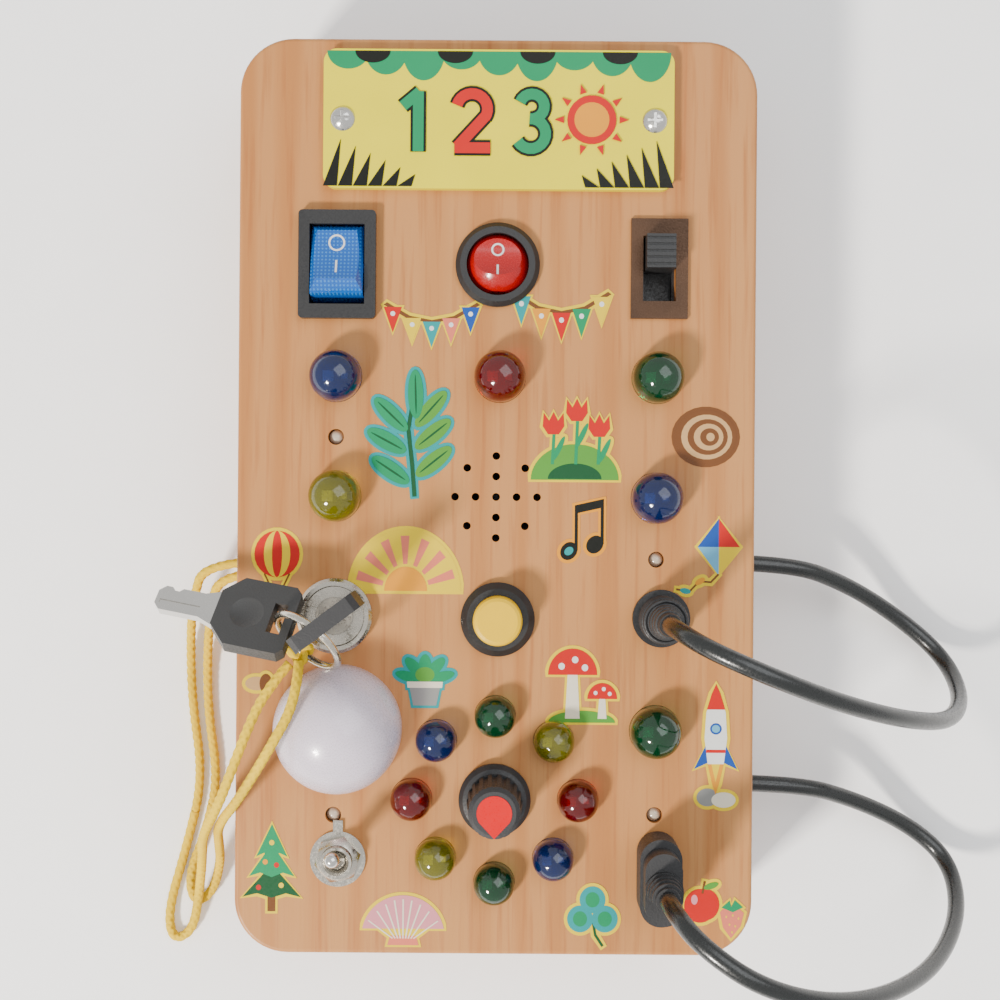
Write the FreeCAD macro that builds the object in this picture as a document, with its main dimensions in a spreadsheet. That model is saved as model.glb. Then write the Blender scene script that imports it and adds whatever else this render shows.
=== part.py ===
import FreeCAD, Part
import math
import os
import Sketcher

# Wooden busy board, lying on its back. Lengths in millimetres, angles in degrees.
# Origin: centre of the underside. +X right, +Y towards the name plate, +Z out of the face.
doc = FreeCAD.newDocument("busy_board")
sheet = doc.addObject("Spreadsheet::Sheet", "sizes")
V = FreeCAD.Vector
SLACK = 0.05
FINE_SLACK = 0.02


class Size:
    """A length that carries its number together with the sheet formula behind it."""

    def __init__(self, number, formula):
        self.number = number
        self.formula = formula

    def joined(self, other, sign, number):
        return Size(number, "(%s %s %s)" % (self.formula, sign, as_size(other).formula))

    def __add__(self, other):
        return self.joined(other, "+", self.number + as_size(other).number)

    def __sub__(self, other):
        return self.joined(other, "-", self.number - as_size(other).number)

    def __mul__(self, other):
        return self.joined(other, "*", self.number * as_size(other).number)

    def __truediv__(self, other):
        return self.joined(other, "/", self.number / as_size(other).number)

    def __neg__(self):
        return Size(-self.number, "(0 - %s)" % self.formula)

    def __radd__(self, other):
        return as_size(other) + self

    def __rsub__(self, other):
        return as_size(other) - self

    def __rmul__(self, other):
        return self * other

    def __float__(self):
        return float(self.number)


def as_size(value):
    if isinstance(value, Size):
        return value
    return Size(float(value), "(%.6f)" % value)


def size(alias, number):
    row = str(size.row)
    size.row += 1
    sheet.set("A" + row, alias)
    sheet.set("B" + row, str(number))
    sheet.setAlias("B" + row, alias)
    return Size(float(number), "sizes." + alias)


size.row = 1

# Case: front panel, side frame and back cover of the same rounded outline
board_width = size("board_width", 101)
board_length = size("board_length", 178.5)
board_corner = size("board_corner", 10.5)
panel_thick = size("panel_thick", 3)
cover_thick = size("cover_thick", 3)
wall_height = size("wall_height", 24)
wall_thick = size("wall_thick", 7)
edge_round = size("edge_round", 0.8)
# Name plate and its screws
plate_length = size("plate_length", 68)
plate_width = size("plate_width", 27)
plate_thick = size("plate_thick", 2)
plate_centre_y = size("plate_centre_y", 73.2)
plate_corner = size("plate_corner", 2.5)
screw_spread = size("screw_spread", 60.6)
screw_head_radius = size("screw_head_radius", 2.45)
screw_shank_radius = size("screw_shank_radius", 1.1)
# Rectangular rocker switch
rocker_x = size("rocker_x", -31.2)
rocker_y = size("rocker_y", 45)
bezel_width = size("bezel_width", 15)
bezel_length = size("bezel_length", 21)
bezel_thick = size("bezel_thick", 2)
rocker_body_width = size("rocker_body_width", 13)
rocker_body_length = size("rocker_body_length", 19)
rocker_body_depth = size("rocker_body_depth", 15)
rocker_swing_radius = size("rocker_swing_radius", 8)
rocker_top_half = size("rocker_top_half", 5)
rocker_half_width = size("rocker_half_width", 5.1)
rocker_pivot_depth = size("rocker_pivot_depth", 2.5)
rocker_tilt = size("rocker_tilt", 15)
# Round rocker switch
round_rocker_y = size("round_rocker_y", 45.2)
round_bezel_radius = size("round_bezel_radius", 8.2)
round_body_radius = size("round_body_radius", 7.2)
round_button_radius = size("round_button_radius", 6.45)
# Slide switch
slide_x = size("slide_x", 31.5)
slide_y = size("slide_y", 44.7)
slide_plate_width = size("slide_plate_width", 11.1)
slide_plate_length = size("slide_plate_length", 19.5)
slide_plate_thick = size("slide_plate_thick", 0.8)
slide_gap_width = size("slide_gap_width", 6.4)
slide_gap_length = size("slide_gap_length", 12.7)
slide_travel = size("slide_travel", 5.8)
slide_knob_height = size("slide_knob_height", 5)
slide_body_width = size("slide_body_width", 9)
slide_body_length = size("slide_body_length", 16)
# Indicator lamps
big_lamp_radius = size("big_lamp_radius", 5)
big_lamp_proud = size("big_lamp_proud", 8)
mid_lamp_radius = size("mid_lamp_radius", 4)
mid_lamp_proud = size("mid_lamp_proud", 6)
small_lamp_radius = size("small_lamp_radius", 1.5)
small_lamp_sunk = size("small_lamp_sunk", 0.6)
small_lamp_body = size("small_lamp_body", 4.3)
lamp_rim = size("lamp_rim", 0.7)
lamp_flange = size("lamp_flange", 1.4)
lamp_leg = size("lamp_leg", 0.5)
lamp_leg_length = size("lamp_leg_length", 8)
lamp_column = size("lamp_column", 31.3)
# Key lock, keys and ring
lock_x = size("lock_x", -31.2)
lock_y = size("lock_y", -23.3)
lock_bezel_radius = size("lock_bezel_radius", 7.3)
lock_bezel_thick = size("lock_bezel_thick", 2.6)
lock_barrel_radius = size("lock_barrel_radius", 5.9)
lock_barrel_length = size("lock_barrel_length", 16)
lock_core_radius = size("lock_core_radius", 3.6)
lock_face_sunk = size("lock_face_sunk", 0.9)
key_angle = size("key_angle", 37)
key_head_width = size("key_head_width", 14.6)
key_head_height = size("key_head_height", 15)
key_head_thick = size("key_head_thick", 3.1)
key_blade_width = size("key_blade_width", 5.2)
key_blade_thick = size("key_blade_thick", 1.8)
key_blade_length = size("key_blade_length", 9)
key_flare = size("key_flare", 3)
key_stand = size("key_stand", 7)
key_slot_drop = size("key_slot_drop", 3)
key_slot_width = size("key_slot_width", 6.4)
key_slot_height = size("key_slot_height", 2.6)
ring_radius = size("ring_radius", 7)
ring_wire = size("ring_wire", 0.7)
ring_droop = size("ring_droop", 62)
ring_yaw = size("ring_yaw", 14)
# Dome lamp cover
dome_x = size("dome_x", -30.4)
dome_y = size("dome_y", -45.2)
dome_radius = size("dome_radius", 12.4)
dome_wall = size("dome_wall", 1.3)
dome_base = size("dome_base", 2.5)
# Push button
button_x = size("button_x", 0.5)
button_y = size("button_y", -23.8)
button_bezel_radius = size("button_bezel_radius", 7.2)
button_bezel_thick = size("button_bezel_thick", 2.6)
button_barrel_radius = size("button_barrel_radius", 5.9)
button_barrel_length = size("button_barrel_length", 15)
button_cap_radius = size("button_cap_radius", 4.75)
button_cap_proud = size("button_cap_proud", 4.6)
button_coil_radius = size("button_coil_radius", 3)
button_wire = size("button_wire", 0.25)
button_turns = size("button_turns", 6)
# Power socket and plug
power_x = size("power_x", 32.3)
power_y = size("power_y", -23.4)
power_flange_radius = size("power_flange_radius", 5.6)
power_flange_thick = size("power_flange_thick", 1.4)
power_barrel_radius = size("power_barrel_radius", 3.95)
power_barrel_length = size("power_barrel_length", 13)
plug_barrel_radius = size("plug_barrel_radius", 2.75)
plug_barrel_length = size("plug_barrel_length", 9.5)
plug_grip_radius = size("plug_grip_radius", 4.2)
plug_grip_length = size("plug_grip_length", 17)
# USB socket and plug
usb_x = size("usb_x", 31.9)
usb_y = size("usb_y", -73.1)
usb_shell_length = size("usb_shell_length", 13.6)
usb_shell_width = size("usb_shell_width", 6)
usb_shell_depth = size("usb_shell_depth", 14)
usb_sheet = size("usb_sheet", 0.4)
usb_plug_length = size("usb_plug_length", 12)
usb_plug_width = size("usb_plug_width", 4.5)
usb_plug_reach = size("usb_plug_reach", 11.5)
usb_grip_length = size("usb_grip_length", 16.6)
usb_grip_width = size("usb_grip_width", 8)
usb_grip_height = size("usb_grip_height", 14)
usb_relief_height = size("usb_relief_height", 8)
cable_radius = size("cable_radius", 1.7)
cord_height = size("cord_height", 14)
# Toggle switch
toggle_x = size("toggle_x", -30.3)
toggle_y = size("toggle_y", -70.7)
toggle_bush_radius = size("toggle_bush_radius", 3)
toggle_bush_proud = size("toggle_bush_proud", 4.4)
toggle_washer_radius = size("toggle_washer_radius", 5.4)
toggle_washer_thick = size("toggle_washer_thick", 0.6)
toggle_nut_flat = size("toggle_nut_flat", 8)
toggle_nut_thick = size("toggle_nut_thick", 2)
toggle_lever_length = size("toggle_lever_length", 11)
toggle_lean = size("toggle_lean", 12)
toggle_ball_radius = size("toggle_ball_radius", 1.9)
# Rotary knob and the lamps round it
knob_x = size("knob_x", 0.16)
knob_y = size("knob_y", -58.9)
knob_skirt_radius = size("knob_skirt_radius", 7)
knob_body_radius = size("knob_body_radius", 5)
knob_height = size("knob_height", 15)
knob_lift = size("knob_lift", 0.4)
knob_flutes = size("knob_flutes", 18)
shaft_radius = size("shaft_radius", 3)
rotary_radius = size("rotary_radius", 8)
rotary_depth = size("rotary_depth", 9)
lamp_circle_radius = size("lamp_circle_radius", 16.2)
# Inside: battery box, speaker, circuit board
battery_box_x = size("battery_box_x", 0)
battery_box_y = size("battery_box_y", 12)
cell_radius = size("cell_radius", 5.2)
cell_length = size("cell_length", 44.5)
box_wall = size("box_wall", 1.5)
door_thick = size("door_thick", 1.5)
speaker_radius = size("speaker_radius", 10)
speaker_height = size("speaker_height", 4.5)
sticker_thick = size("sticker_thick", 0.2)
lanyard_radius = size("lanyard_radius", 1)

panel_under = cover_thick + wall_height
face = panel_under + panel_thick


def bind(thing, prop, value):
    value = as_size(value)
    thing.setExpression(prop, value.formula)
    return thing


def place(thing, x=0, y=0, z=0):
    for axis, value in (("x", x), ("y", y), ("z", z)):
        bind(thing, "Placement.Base." + axis, value)
    return thing


def named(thing, label):
    thing.Label = label
    kept.append(thing)
    return thing


kept = []


def box(name, length, width, height, x=0, y=0, z=0):
    """A block centred on x and y, standing on z."""
    solid = doc.addObject("Part::Box", name)
    bind(solid, "Length", length)
    bind(solid, "Width", width)
    bind(solid, "Height", height)
    return place(solid, as_size(x) - as_size(length) / 2, as_size(y) - as_size(width) / 2, z)


def rod(name, radius, height, x=0, y=0, z=0):
    solid = doc.addObject("Part::Cylinder", name)
    bind(solid, "Radius", radius)
    bind(solid, "Height", height)
    return place(solid, x, y, z)


def cone(name, low, high, height, x=0, y=0, z=0):
    solid = doc.addObject("Part::Cone", name)
    bind(solid, "Radius1", low)
    bind(solid, "Radius2", high)
    bind(solid, "Height", height)
    return place(solid, x, y, z)


def ball(name, radius, x=0, y=0, z=0):
    solid = doc.addObject("Part::Sphere", name)
    bind(solid, "Radius", radius)
    return place(solid, x, y, z)


def hexagon(name, flat, height, x=0, y=0, z=0):
    solid = doc.addObject("Part::Prism", name)
    solid.Polygon = 6
    bind(solid, "Circumradius", as_size(flat) / math.sqrt(3))
    bind(solid, "Height", height)
    return place(solid, x, y, z)


def cut(name, base, *tools):
    result = doc.addObject("Part::Cut", name)
    result.Base = base
    result.Tool = tools[0] if len(tools) == 1 else fuse(name + "_tools", *tools)
    return result


def fuse(name, *parts):
    result = doc.addObject("Part::MultiFuse", name)
    result.Shapes = list(parts)
    return result


def common(name, first, second):
    result = doc.addObject("Part::Common", name)
    result.Base = first
    result.Tool = second
    return result


def group(name, parts):
    result = doc.addObject("Part::Compound", name)
    result.Links = list(parts)
    return result


def tilted(name, parts, axis, angle, x=0, y=0, z=0):
    """Pieces turned together by a bound angle about an axis through their own origin."""
    result = group(name, parts)
    result.Placement = FreeCAD.Placement(V(0, 0, 0), FreeCAD.Rotation(axis, float(angle)))
    bind(result, "Placement.Rotation.Angle", angle)
    return place(result, x, y, z)


def sketch_on(body, role, name):
    sketch = body.newObject("Sketcher::SketchObject", name)
    plane = [item for item in body.Origin.OriginFeatures if item.Role == role][0]
    sketch.AttachmentSupport = [(plane, "")]
    sketch.MapMode = "FlatFace"
    return sketch


def tie(sketch, kind, ends, value):
    value = as_size(value)
    index = sketch.addConstraint(Sketcher.Constraint(kind, *ends, value.number))
    sketch.setExpression("Constraints[%d]" % index, value.formula)


def add_outline(sketch, points):
    """A closed outline of straight lines through the points."""
    first = sketch.GeometryCount
    count = len(points)
    spots = [V(float(x), float(y), 0) for x, y in points]
    for i in range(count):
        sketch.addGeometry(Part.LineSegment(spots[i], spots[(i + 1) % count]), False)
    for i in range(count):
        here = first + i
        sketch.addConstraint(Sketcher.Constraint("Coincident", here, 2, first + (i + 1) % count, 1))
    for i, (x, y) in enumerate(points):
        tie(sketch, "DistanceX", (-1, 1, first + i, 1), x)
        tie(sketch, "DistanceY", (-1, 1, first + i, 1), y)


def add_circle(sketch, radius, x=0, y=0):
    spot = V(float(x), float(y), 0)
    index = sketch.addGeometry(Part.Circle(spot, V(0, 0, 1), float(radius)), False)
    tie(sketch, "DistanceX", (-1, 1, index, 3), x)
    tie(sketch, "DistanceY", (-1, 1, index, 3), y)
    tie(sketch, "Radius", (index,), radius)


def add_rectangle(sketch, length, width, x=0, y=0):
    half_x = as_size(length) / 2
    half_y = as_size(width) / 2
    corners = [(x - half_x, y - half_y), (x + half_x, y - half_y)]
    corners += [(x + half_x, y + half_y), (x - half_x, y + half_y)]
    add_outline(sketch, corners)


def pad(body, sketch, name, length):
    feature = body.newObject("PartDesign::Pad", name)
    feature.Profile = sketch
    bind(feature, "Length", length)
    sketch.Visibility = False
    return feature


def pocket(body, sketch, name, length=None, up=False):
    """Cuts from the sketch plane, downwards unless up is set, and through all without a length."""
    feature = body.newObject("PartDesign::Pocket", name)
    feature.Profile = sketch
    feature.Reversed = up
    if length is None:
        feature.Type = "ThroughAll"
    else:
        bind(feature, "Length", length)
    return feature


def revolved(name, points, x=0, y=0, z=0):
    """A turned piece: the half profile, radius and height, swung round its own Z axis."""
    body = doc.addObject("PartDesign::Body", name)
    sketch = sketch_on(body, "XZ_Plane", name + "_profile")
    add_outline(sketch, points)
    feature = body.newObject("PartDesign::Revolution", name + "_turned")
    feature.Profile = sketch
    feature.ReferenceAxis = (sketch, ["V_Axis"])
    feature.Angle = 360
    return place(body, x, y, z)


def edge_names(shape, wanted):
    return ["Edge%d" % (i + 1) for i, edge in enumerate(shape.Edges) if wanted(edge)]


def upright(edge):
    first, last = edge.Vertexes[0].Point, edge.Vertexes[-1].Point
    return abs(first.x - last.x) < 1e-6 and abs(first.y - last.y) < 1e-6 and abs(first.z - last.z) > 1e-6


def rounded_corners(body, feature, name, radius):
    doc.recompute()
    fillet = body.newObject("PartDesign::Fillet", name)
    fillet.Base = (feature, edge_names(feature.Shape, upright))
    bind(fillet, "Radius", radius)
    return fillet


def slab(name, length, width, thick, corner):
    """A plate with rounded corners, standing on its own origin."""
    body = doc.addObject("PartDesign::Body", name)
    sketch = sketch_on(body, "XY_Plane", name + "_outline")
    add_rectangle(sketch, length, width, as_size(0), as_size(0))
    feature = pad(body, sketch, name + "_pad", thick)
    rounded_corners(body, feature, name + "_corners", corner)
    return body


# Where the lamps stand: x, y and colour of the dome
left_x = -lamp_column
right_x = lamp_column
big_lamps = [(left_x, 23.3, "blue"), (0.6, 23.4, "red"), (right_x, 23.4, "green")]
big_lamps += [(left_x, 0, "yellow"), (right_x, 0, "blue"), (right_x, -45.4, "green")]
small_lamps = [(left_x, 11.5), (right_x, -12), (left_x, -62.2), (right_x, -61.8)]
ring_colours = ["green", "yellow", "red", "blue", "green", "yellow", "red", "blue"]
ring_lamps = []
for i, colour in enumerate(ring_colours):
    turn = math.radians(90 - 45 * i)
    spot_x = knob_x + lamp_circle_radius * math.cos(turn)
    spot_y = knob_y + lamp_circle_radius * math.sin(turn)
    ring_lamps.append((spot_x, spot_y, colour))

# Front panel: a board with a hole for every control
panel = slab("panel_blank", board_width, board_length, panel_thick, board_corner)
openings = sketch_on(panel, "XY_Plane", "panel_openings")
add_rectangle(openings, rocker_body_width + 2 * SLACK, rocker_body_length + 2 * SLACK, rocker_x, rocker_y)
add_circle(openings, round_body_radius + SLACK, as_size(0), round_rocker_y)
add_rectangle(openings, slide_gap_width, slide_gap_length, slide_x, slide_y)
add_rectangle(openings, usb_shell_width + 2 * SLACK, usb_shell_length + 2 * SLACK, usb_x, usb_y)
round_holes = [(lock_barrel_radius, lock_x, lock_y), (button_barrel_radius, button_x, button_y)]
round_holes += [(power_barrel_radius, power_x, power_y), (toggle_bush_radius, toggle_x, toggle_y)]
round_holes += [(shaft_radius + 0.5, knob_x, knob_y), (big_lamp_radius, dome_x, dome_y)]
round_holes += [(big_lamp_radius, x, y) for x, y, colour in big_lamps]
round_holes += [(mid_lamp_radius, x, y) for x, y, colour in ring_lamps]
round_holes += [(small_lamp_radius, x, y) for x, y in small_lamps]
for radius, x, y in round_holes:
    add_circle(openings, radius + SLACK, as_size(x), as_size(y))
pocket(panel, openings, "panel_cut", up=True)
sound = sketch_on(panel, "XY_Plane", "sound_holes")
sound_hole_radius = 0.75
sound_rings = [(0, 1), (4, 4), (8, 8)]
for reach, count in sound_rings:
    for i in range(count):
        turn = 2 * math.pi * i / count
        add_circle(sound, as_size(sound_hole_radius), as_size(reach * math.cos(turn)),
                   as_size(reach * math.sin(turn)))
pocket(panel, sound, "sound_cut", up=True)
plate_holes = sketch_on(panel, "XY_Plane", "plate_holes")
for side in (-1, 1):
    add_circle(plate_holes, screw_shank_radius, screw_spread * side / 2, plate_centre_y)
holes_cut = pocket(panel, plate_holes, "holes_cut", up=True)
doc.recompute()


def on_outline(edge):
    box_of = edge.BoundBox
    at_top = abs(box_of.ZMin - float(panel_thick)) < 1e-6 and abs(box_of.ZMax - float(panel_thick)) < 1e-6
    reach_x = max(abs(box_of.XMin), abs(box_of.XMax))
    reach_y = max(abs(box_of.YMin), abs(box_of.YMax))
    at_side = abs(reach_x - float(board_width) / 2) < 1e-4 or abs(reach_y - float(board_length) / 2) < 1e-4
    return at_top and at_side


panel_round = panel.newObject("PartDesign::Fillet", "panel_round")
panel_round.Base = (holes_cut, edge_names(holes_cut.Shape, on_outline))
bind(panel_round, "Radius", edge_round)
place(panel, 0, 0, panel_under)
named(panel, "front_panel")

# Side frame: four walls in one rounded ring, bored for the two cables and the lanyard
frame = slab("frame_blank", board_width, board_length, wall_height, board_corner)
hollow = sketch_on(frame, "XY_Plane", "frame_hollow")
inner_width = board_width - 2 * wall_thick
inner_length = board_length - 2 * wall_thick
add_rectangle(hollow, inner_width, inner_length, as_size(0), as_size(0))
pocket(frame, hollow, "frame_hollow_cut", up=True)
power_cord_y = size("power_cord_y", -13)
usb_cord_y = size("usb_cord_y", -58)
lanyard_y = size("lanyard_y", -14.5)
lanyard_gap = size("lanyard_gap", 2.3)
bore_holes = sketch_on(frame, "YZ_Plane", "cord_holes")
bore_height = cord_height - cover_thick
for y in (power_cord_y, usb_cord_y):
    add_circle(bore_holes, cable_radius + SLACK, y, bore_height)
cord_bore = frame.newObject("PartDesign::Pocket", "cord_bore")
cord_bore.Profile = bore_holes
cord_bore.Type = "ThroughAll"
cord_bore.Reversed = True
strand_holes = sketch_on(frame, "YZ_Plane", "lanyard_holes")
for side in (-1, 1):
    add_circle(strand_holes, lanyard_radius + SLACK, lanyard_y + lanyard_gap * side / 2, bore_height)
strand_bore = frame.newObject("PartDesign::Pocket", "lanyard_bore")
strand_bore.Profile = strand_holes
strand_bore.Type = "ThroughAll"
place(frame, 0, 0, cover_thick)
cover_screw_radius = size("cover_screw_radius", 1.4)
cover_screw_head = size("cover_screw_head", 2.8)
cover_screw_length = size("cover_screw_length", 12)
rim_x = board_width / 2 - wall_thick / 2
rim_y = board_length / 2 - wall_thick / 2
screw_rows = 0.86
cover_screws = [(rim_x * side, rim_y * row * screw_rows) for side in (-1, 1) for row in (-1, 0, 1)]
pilots = [rod("pilot", cover_screw_radius, cover_screw_length - cover_thick, x, y, cover_thick)
          for x, y in cover_screws]
named(cut("side_frame_piloted", frame, *pilots), "side_frame")

# Back cover: hatch for the cells, countersunk screws along the rim
cover = slab("cover_blank", board_width, board_length, cover_thick, board_corner)
hatch = sketch_on(cover, "XY_Plane", "hatch")
hatch_width = cell_length + 6
hatch_length = 6 * cell_radius + 2
add_rectangle(hatch, hatch_width, hatch_length, battery_box_x, battery_box_y)
pocket(cover, hatch, "hatch_cut", up=True)
shanks = sketch_on(cover, "XY_Plane", "screw_holes")
for x, y in cover_screws:
    add_circle(shanks, cover_screw_radius, as_size(x), as_size(y))
pocket(cover, shanks, "screw_cut", up=True)
doc.recompute()
sinks = [cone("sink", cover_screw_head, cover_screw_radius, cover_screw_head - cover_screw_radius, x, y)
         for x, y in cover_screws]
named(cut("back_cover_sunk", cover, *sinks), "back_cover")
sink_depth = cover_screw_head - cover_screw_radius
back_screws = []
for x, y in cover_screws:
    head = cone("head", cover_screw_head, cover_screw_radius, sink_depth, x, y)
    shank = rod("shank", cover_screw_radius, cover_screw_length - sink_depth, x, y, sink_depth)
    recess = box("recess", 2.4, 0.6, 0.6, x, y)
    cross = box("cross", 0.6, 2.4, 0.6, x, y)
    back_screws.append(cut("back_screw", fuse("back_screw_solid", head, shank), recess, cross))
named(group("back_screw_set", back_screws), "back_screws")

# Battery box: open tray on the inside of the back cover, three cells, hinged door and its screw
box_height = 2 * cell_radius + 2 + box_wall
box_outer = box("box_outer", hatch_width + 2 * box_wall, hatch_length + 2 * box_wall, box_height,
                battery_box_x, battery_box_y, cover_thick)
box_inner = box("box_inner", hatch_width, hatch_length, box_height - box_wall,
                battery_box_x, battery_box_y, cover_thick)
named(cut("battery_box_shell", box_outer, box_inner), "battery_box")
cells = []
contacts = []
cell_height = cover_thick + cell_radius + 0.5
contact_thick = size("contact_thick", 0.5)
for row in (-1, 0, 1):
    y = battery_box_y + row * (2 * cell_radius + 0.4)
    can = rod("can", cell_radius, cell_length - 1)
    nib = rod("nib", 1.8, cell_length)
    cell = tilted("cell", [fuse("cell_solid", can, nib)], V(0, 1, 0), as_size(90),
                  battery_box_x - cell_length / 2, y, cell_height)
    cells.append(cell)
    for side in (-1, 1):
        x = battery_box_x + side * (hatch_width / 2 - contact_thick / 2)
        contacts.append(box("contact", contact_thick, 7, 8, x, y, cover_thick + 1))
        spring_reach = hatch_width / 2 - contact_thick - cell_length / 2
        coil = box("coil", spring_reach - 0.3, 3, 3, x - side * (contact_thick / 2 + spring_reach / 2 - 0.15),
                   y, cell_height - 1.5)
        contacts[-1] = fuse("contact_leaf", contacts[-1], coil)
named(group("cell_set", cells), "battery_cells")
named(group("contact_set", contacts), "battery_contacts")
door_gap = size("door_gap", 0.3)
door_inset = size("door_inset", 1.3)
hinge_y = battery_box_y + hatch_length / 2 - door_inset
door_length = hatch_length - door_gap - door_inset
door_plate = box("door_plate", hatch_width - 2 * door_gap, door_length, door_thick,
                 battery_box_x, hinge_y - door_length / 2, 0.2)
door_screw_y = battery_box_y - hatch_length / 2 + 3.5
door_hole = rod("door_hole", 1.2, cover_thick, battery_box_x, door_screw_y)
grips = [box("grip", 12, 0.8, 0.4, battery_box_x, battery_box_y + 1.8 * i, 0.2) for i in range(-3, 4)]
hinge_z = as_size(1.3)
knuckle = tilted("knuckle", [rod("knuckle_rod", 0.9, hatch_width - 2 * door_gap)], V(0, 1, 0), as_size(90),
                 battery_box_x - hatch_width / 2 + door_gap, hinge_y, hinge_z)
named(fuse("battery_door_solid", cut("door_cut", door_plate, door_hole, *grips), knuckle), "battery_door")
door_screw_head = rod("door_screw_head", 2, 0.8, battery_box_x, door_screw_y, door_thick + 0.2)
door_screw_shank = rod("door_screw_shank", 1.1, 2, battery_box_x, door_screw_y, 0.2)
named(cut("door_screw_solid", fuse("door_screw_blank", door_screw_head, door_screw_shank),
          box("door_screw_slot", 1.6, 0.4, 0.5, battery_box_x, door_screw_y, 0.2)), "door_screw")

# Name plate and its two pan-head screws
plate = slab("plate_blank", plate_length, plate_width, plate_thick, plate_corner)
plate_bores = sketch_on(plate, "XY_Plane", "plate_bores")
for side in (-1, 1):
    add_circle(plate_bores, screw_shank_radius + SLACK, screw_spread * side / 2, as_size(0))
pocket(plate, plate_bores, "plate_bore_cut", up=True)
place(plate, 0, plate_centre_y, face)
named(plate, "name_plate")
plate_top = face + plate_thick
plate_screws = []
for side in (-1, 1):
    x = screw_spread * side / 2
    dome = ball("screw_dome", screw_head_radius * 1.25, x, plate_centre_y, plate_top - screw_head_radius * 0.75)
    keep = rod("screw_keep", screw_head_radius, 2, x, plate_centre_y, plate_top)
    shank = rod("screw_shank", screw_shank_radius - FINE_SLACK, plate_thick + panel_thick, x, plate_centre_y,
                panel_under)
    slot = box("screw_slot", 3, 0.6, 1, x, plate_centre_y, plate_top + 0.6)
    slot_b = box("screw_slot_b", 0.6, 3, 1, x, plate_centre_y, plate_top + 0.6)
    head = cut("screw_head", common("screw_dome_part", dome, keep), slot, slot_b)
    plate_screws.append(fuse("plate_screw", head, shank))
named(group("plate_screw_set", plate_screws), "plate_screws")

# Rectangular rocker switch: bezel and body in one moulding, rocker on two side pins
pivot_z = face - rocker_pivot_depth
bezel = slab("rocker_bezel", bezel_width, bezel_length, bezel_thick, as_size(0.8))
place(bezel, rocker_x, rocker_y, face)
switch_body = box("switch_body", rocker_body_width, rocker_body_length, rocker_body_depth, rocker_x, rocker_y,
                  face - rocker_body_depth)
well_half = rocker_swing_radius + 0.2
well = box("well", 2 * rocker_half_width + 0.5, 2 * well_half, 8, rocker_x, rocker_y, face - 8)
mouth = box("mouth", 2 * rocker_half_width + 0.5, 15.5, 4, rocker_x, rocker_y, face - 0.5)
pin_radius = size("pin_radius", 1)
pin_reach = size("pin_reach", 0.7)
pin_length = 2 * (rocker_half_width + pin_reach)
socket_length = pin_length + 0.4
sockets = tilted("sockets", [rod("socket", pin_radius + SLACK, socket_length)], V(0, 1, 0), as_size(90),
                 rocker_x - socket_length / 2, rocker_y, pivot_z)
named(cut("rocker_housing_cut", fuse("rocker_housing_solid", bezel, switch_body), well, mouth, sockets),
      "rocker_housing")


def rocker_profile(name, reach, half_top, width):
    """The rocker's side outline, hollow on top, swung about its pivot: arcs met by a shallow dip."""
    high = math.sqrt(float(reach) ** 2 - float(half_top) ** 2)
    dip = 0.9
    shoulder = math.radians(28)
    side = V(0, reach * math.cos(shoulder), reach * math.sin(shoulder))
    top = V(0, half_top, high)
    bow_turn = (shoulder + math.atan2(high, half_top)) / 2
    bow = V(0, reach * math.cos(bow_turn), reach * math.sin(bow_turn))

    def mirrored(spot):
        return V(0, -spot.y, spot.z)

    foot = V(0, reach * 0.85, -1.8)
    edges = [Part.LineSegment(foot, side).toShape(), Part.Arc(side, bow, top).toShape()]
    edges.append(Part.Arc(top, V(0, 0, high - dip), mirrored(top)).toShape())
    edges.append(Part.Arc(mirrored(top), mirrored(bow), mirrored(side)).toShape())
    edges.append(Part.LineSegment(mirrored(side), mirrored(foot)).toShape())
    edges.append(Part.LineSegment(mirrored(foot), foot).toShape())
    outline = Part.Face(Part.Wire(edges))
    solid = outline.extrude(V(2 * float(width), 0, 0))
    solid.translate(V(-float(width), 0, 0))
    feature = doc.addObject("Part::Feature", name)
    feature.Shape = solid
    return feature


rocker_solid = rocker_profile("rocker_solid", float(rocker_swing_radius), float(rocker_top_half),
                                           rocker_half_width)
bevel = 1.5
bevels = []
for side in (-1, 1):
    corner = [V(side * float(rocker_half_width), -10, 4.2), V(side * float(rocker_half_width), -10, 9)]
    corner.append(V(side * (float(rocker_half_width) - 2 * bevel), -10, 9))
    wedge = Part.Face(Part.makePolygon(corner + corner[:1])).extrude(V(0, 20, 0))
    wedge_feature = doc.addObject("Part::Feature", "bevel_wedge")
    wedge_feature.Shape = wedge
    bevels.append(wedge_feature)
rocker_pins = tilted("rocker_pins", [rod("rocker_pin", pin_radius, pin_length)], V(0, 1, 0), as_size(90),
                     -(pin_length / 2), 0, 0)
named(tilted("rocker_set", [fuse("rocker_pinned", cut("rocker_bevelled", rocker_solid, *bevels), rocker_pins)],
             V(1, 0, 0), -rocker_tilt, rocker_x, rocker_y, pivot_z), "rocker_button")

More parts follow.
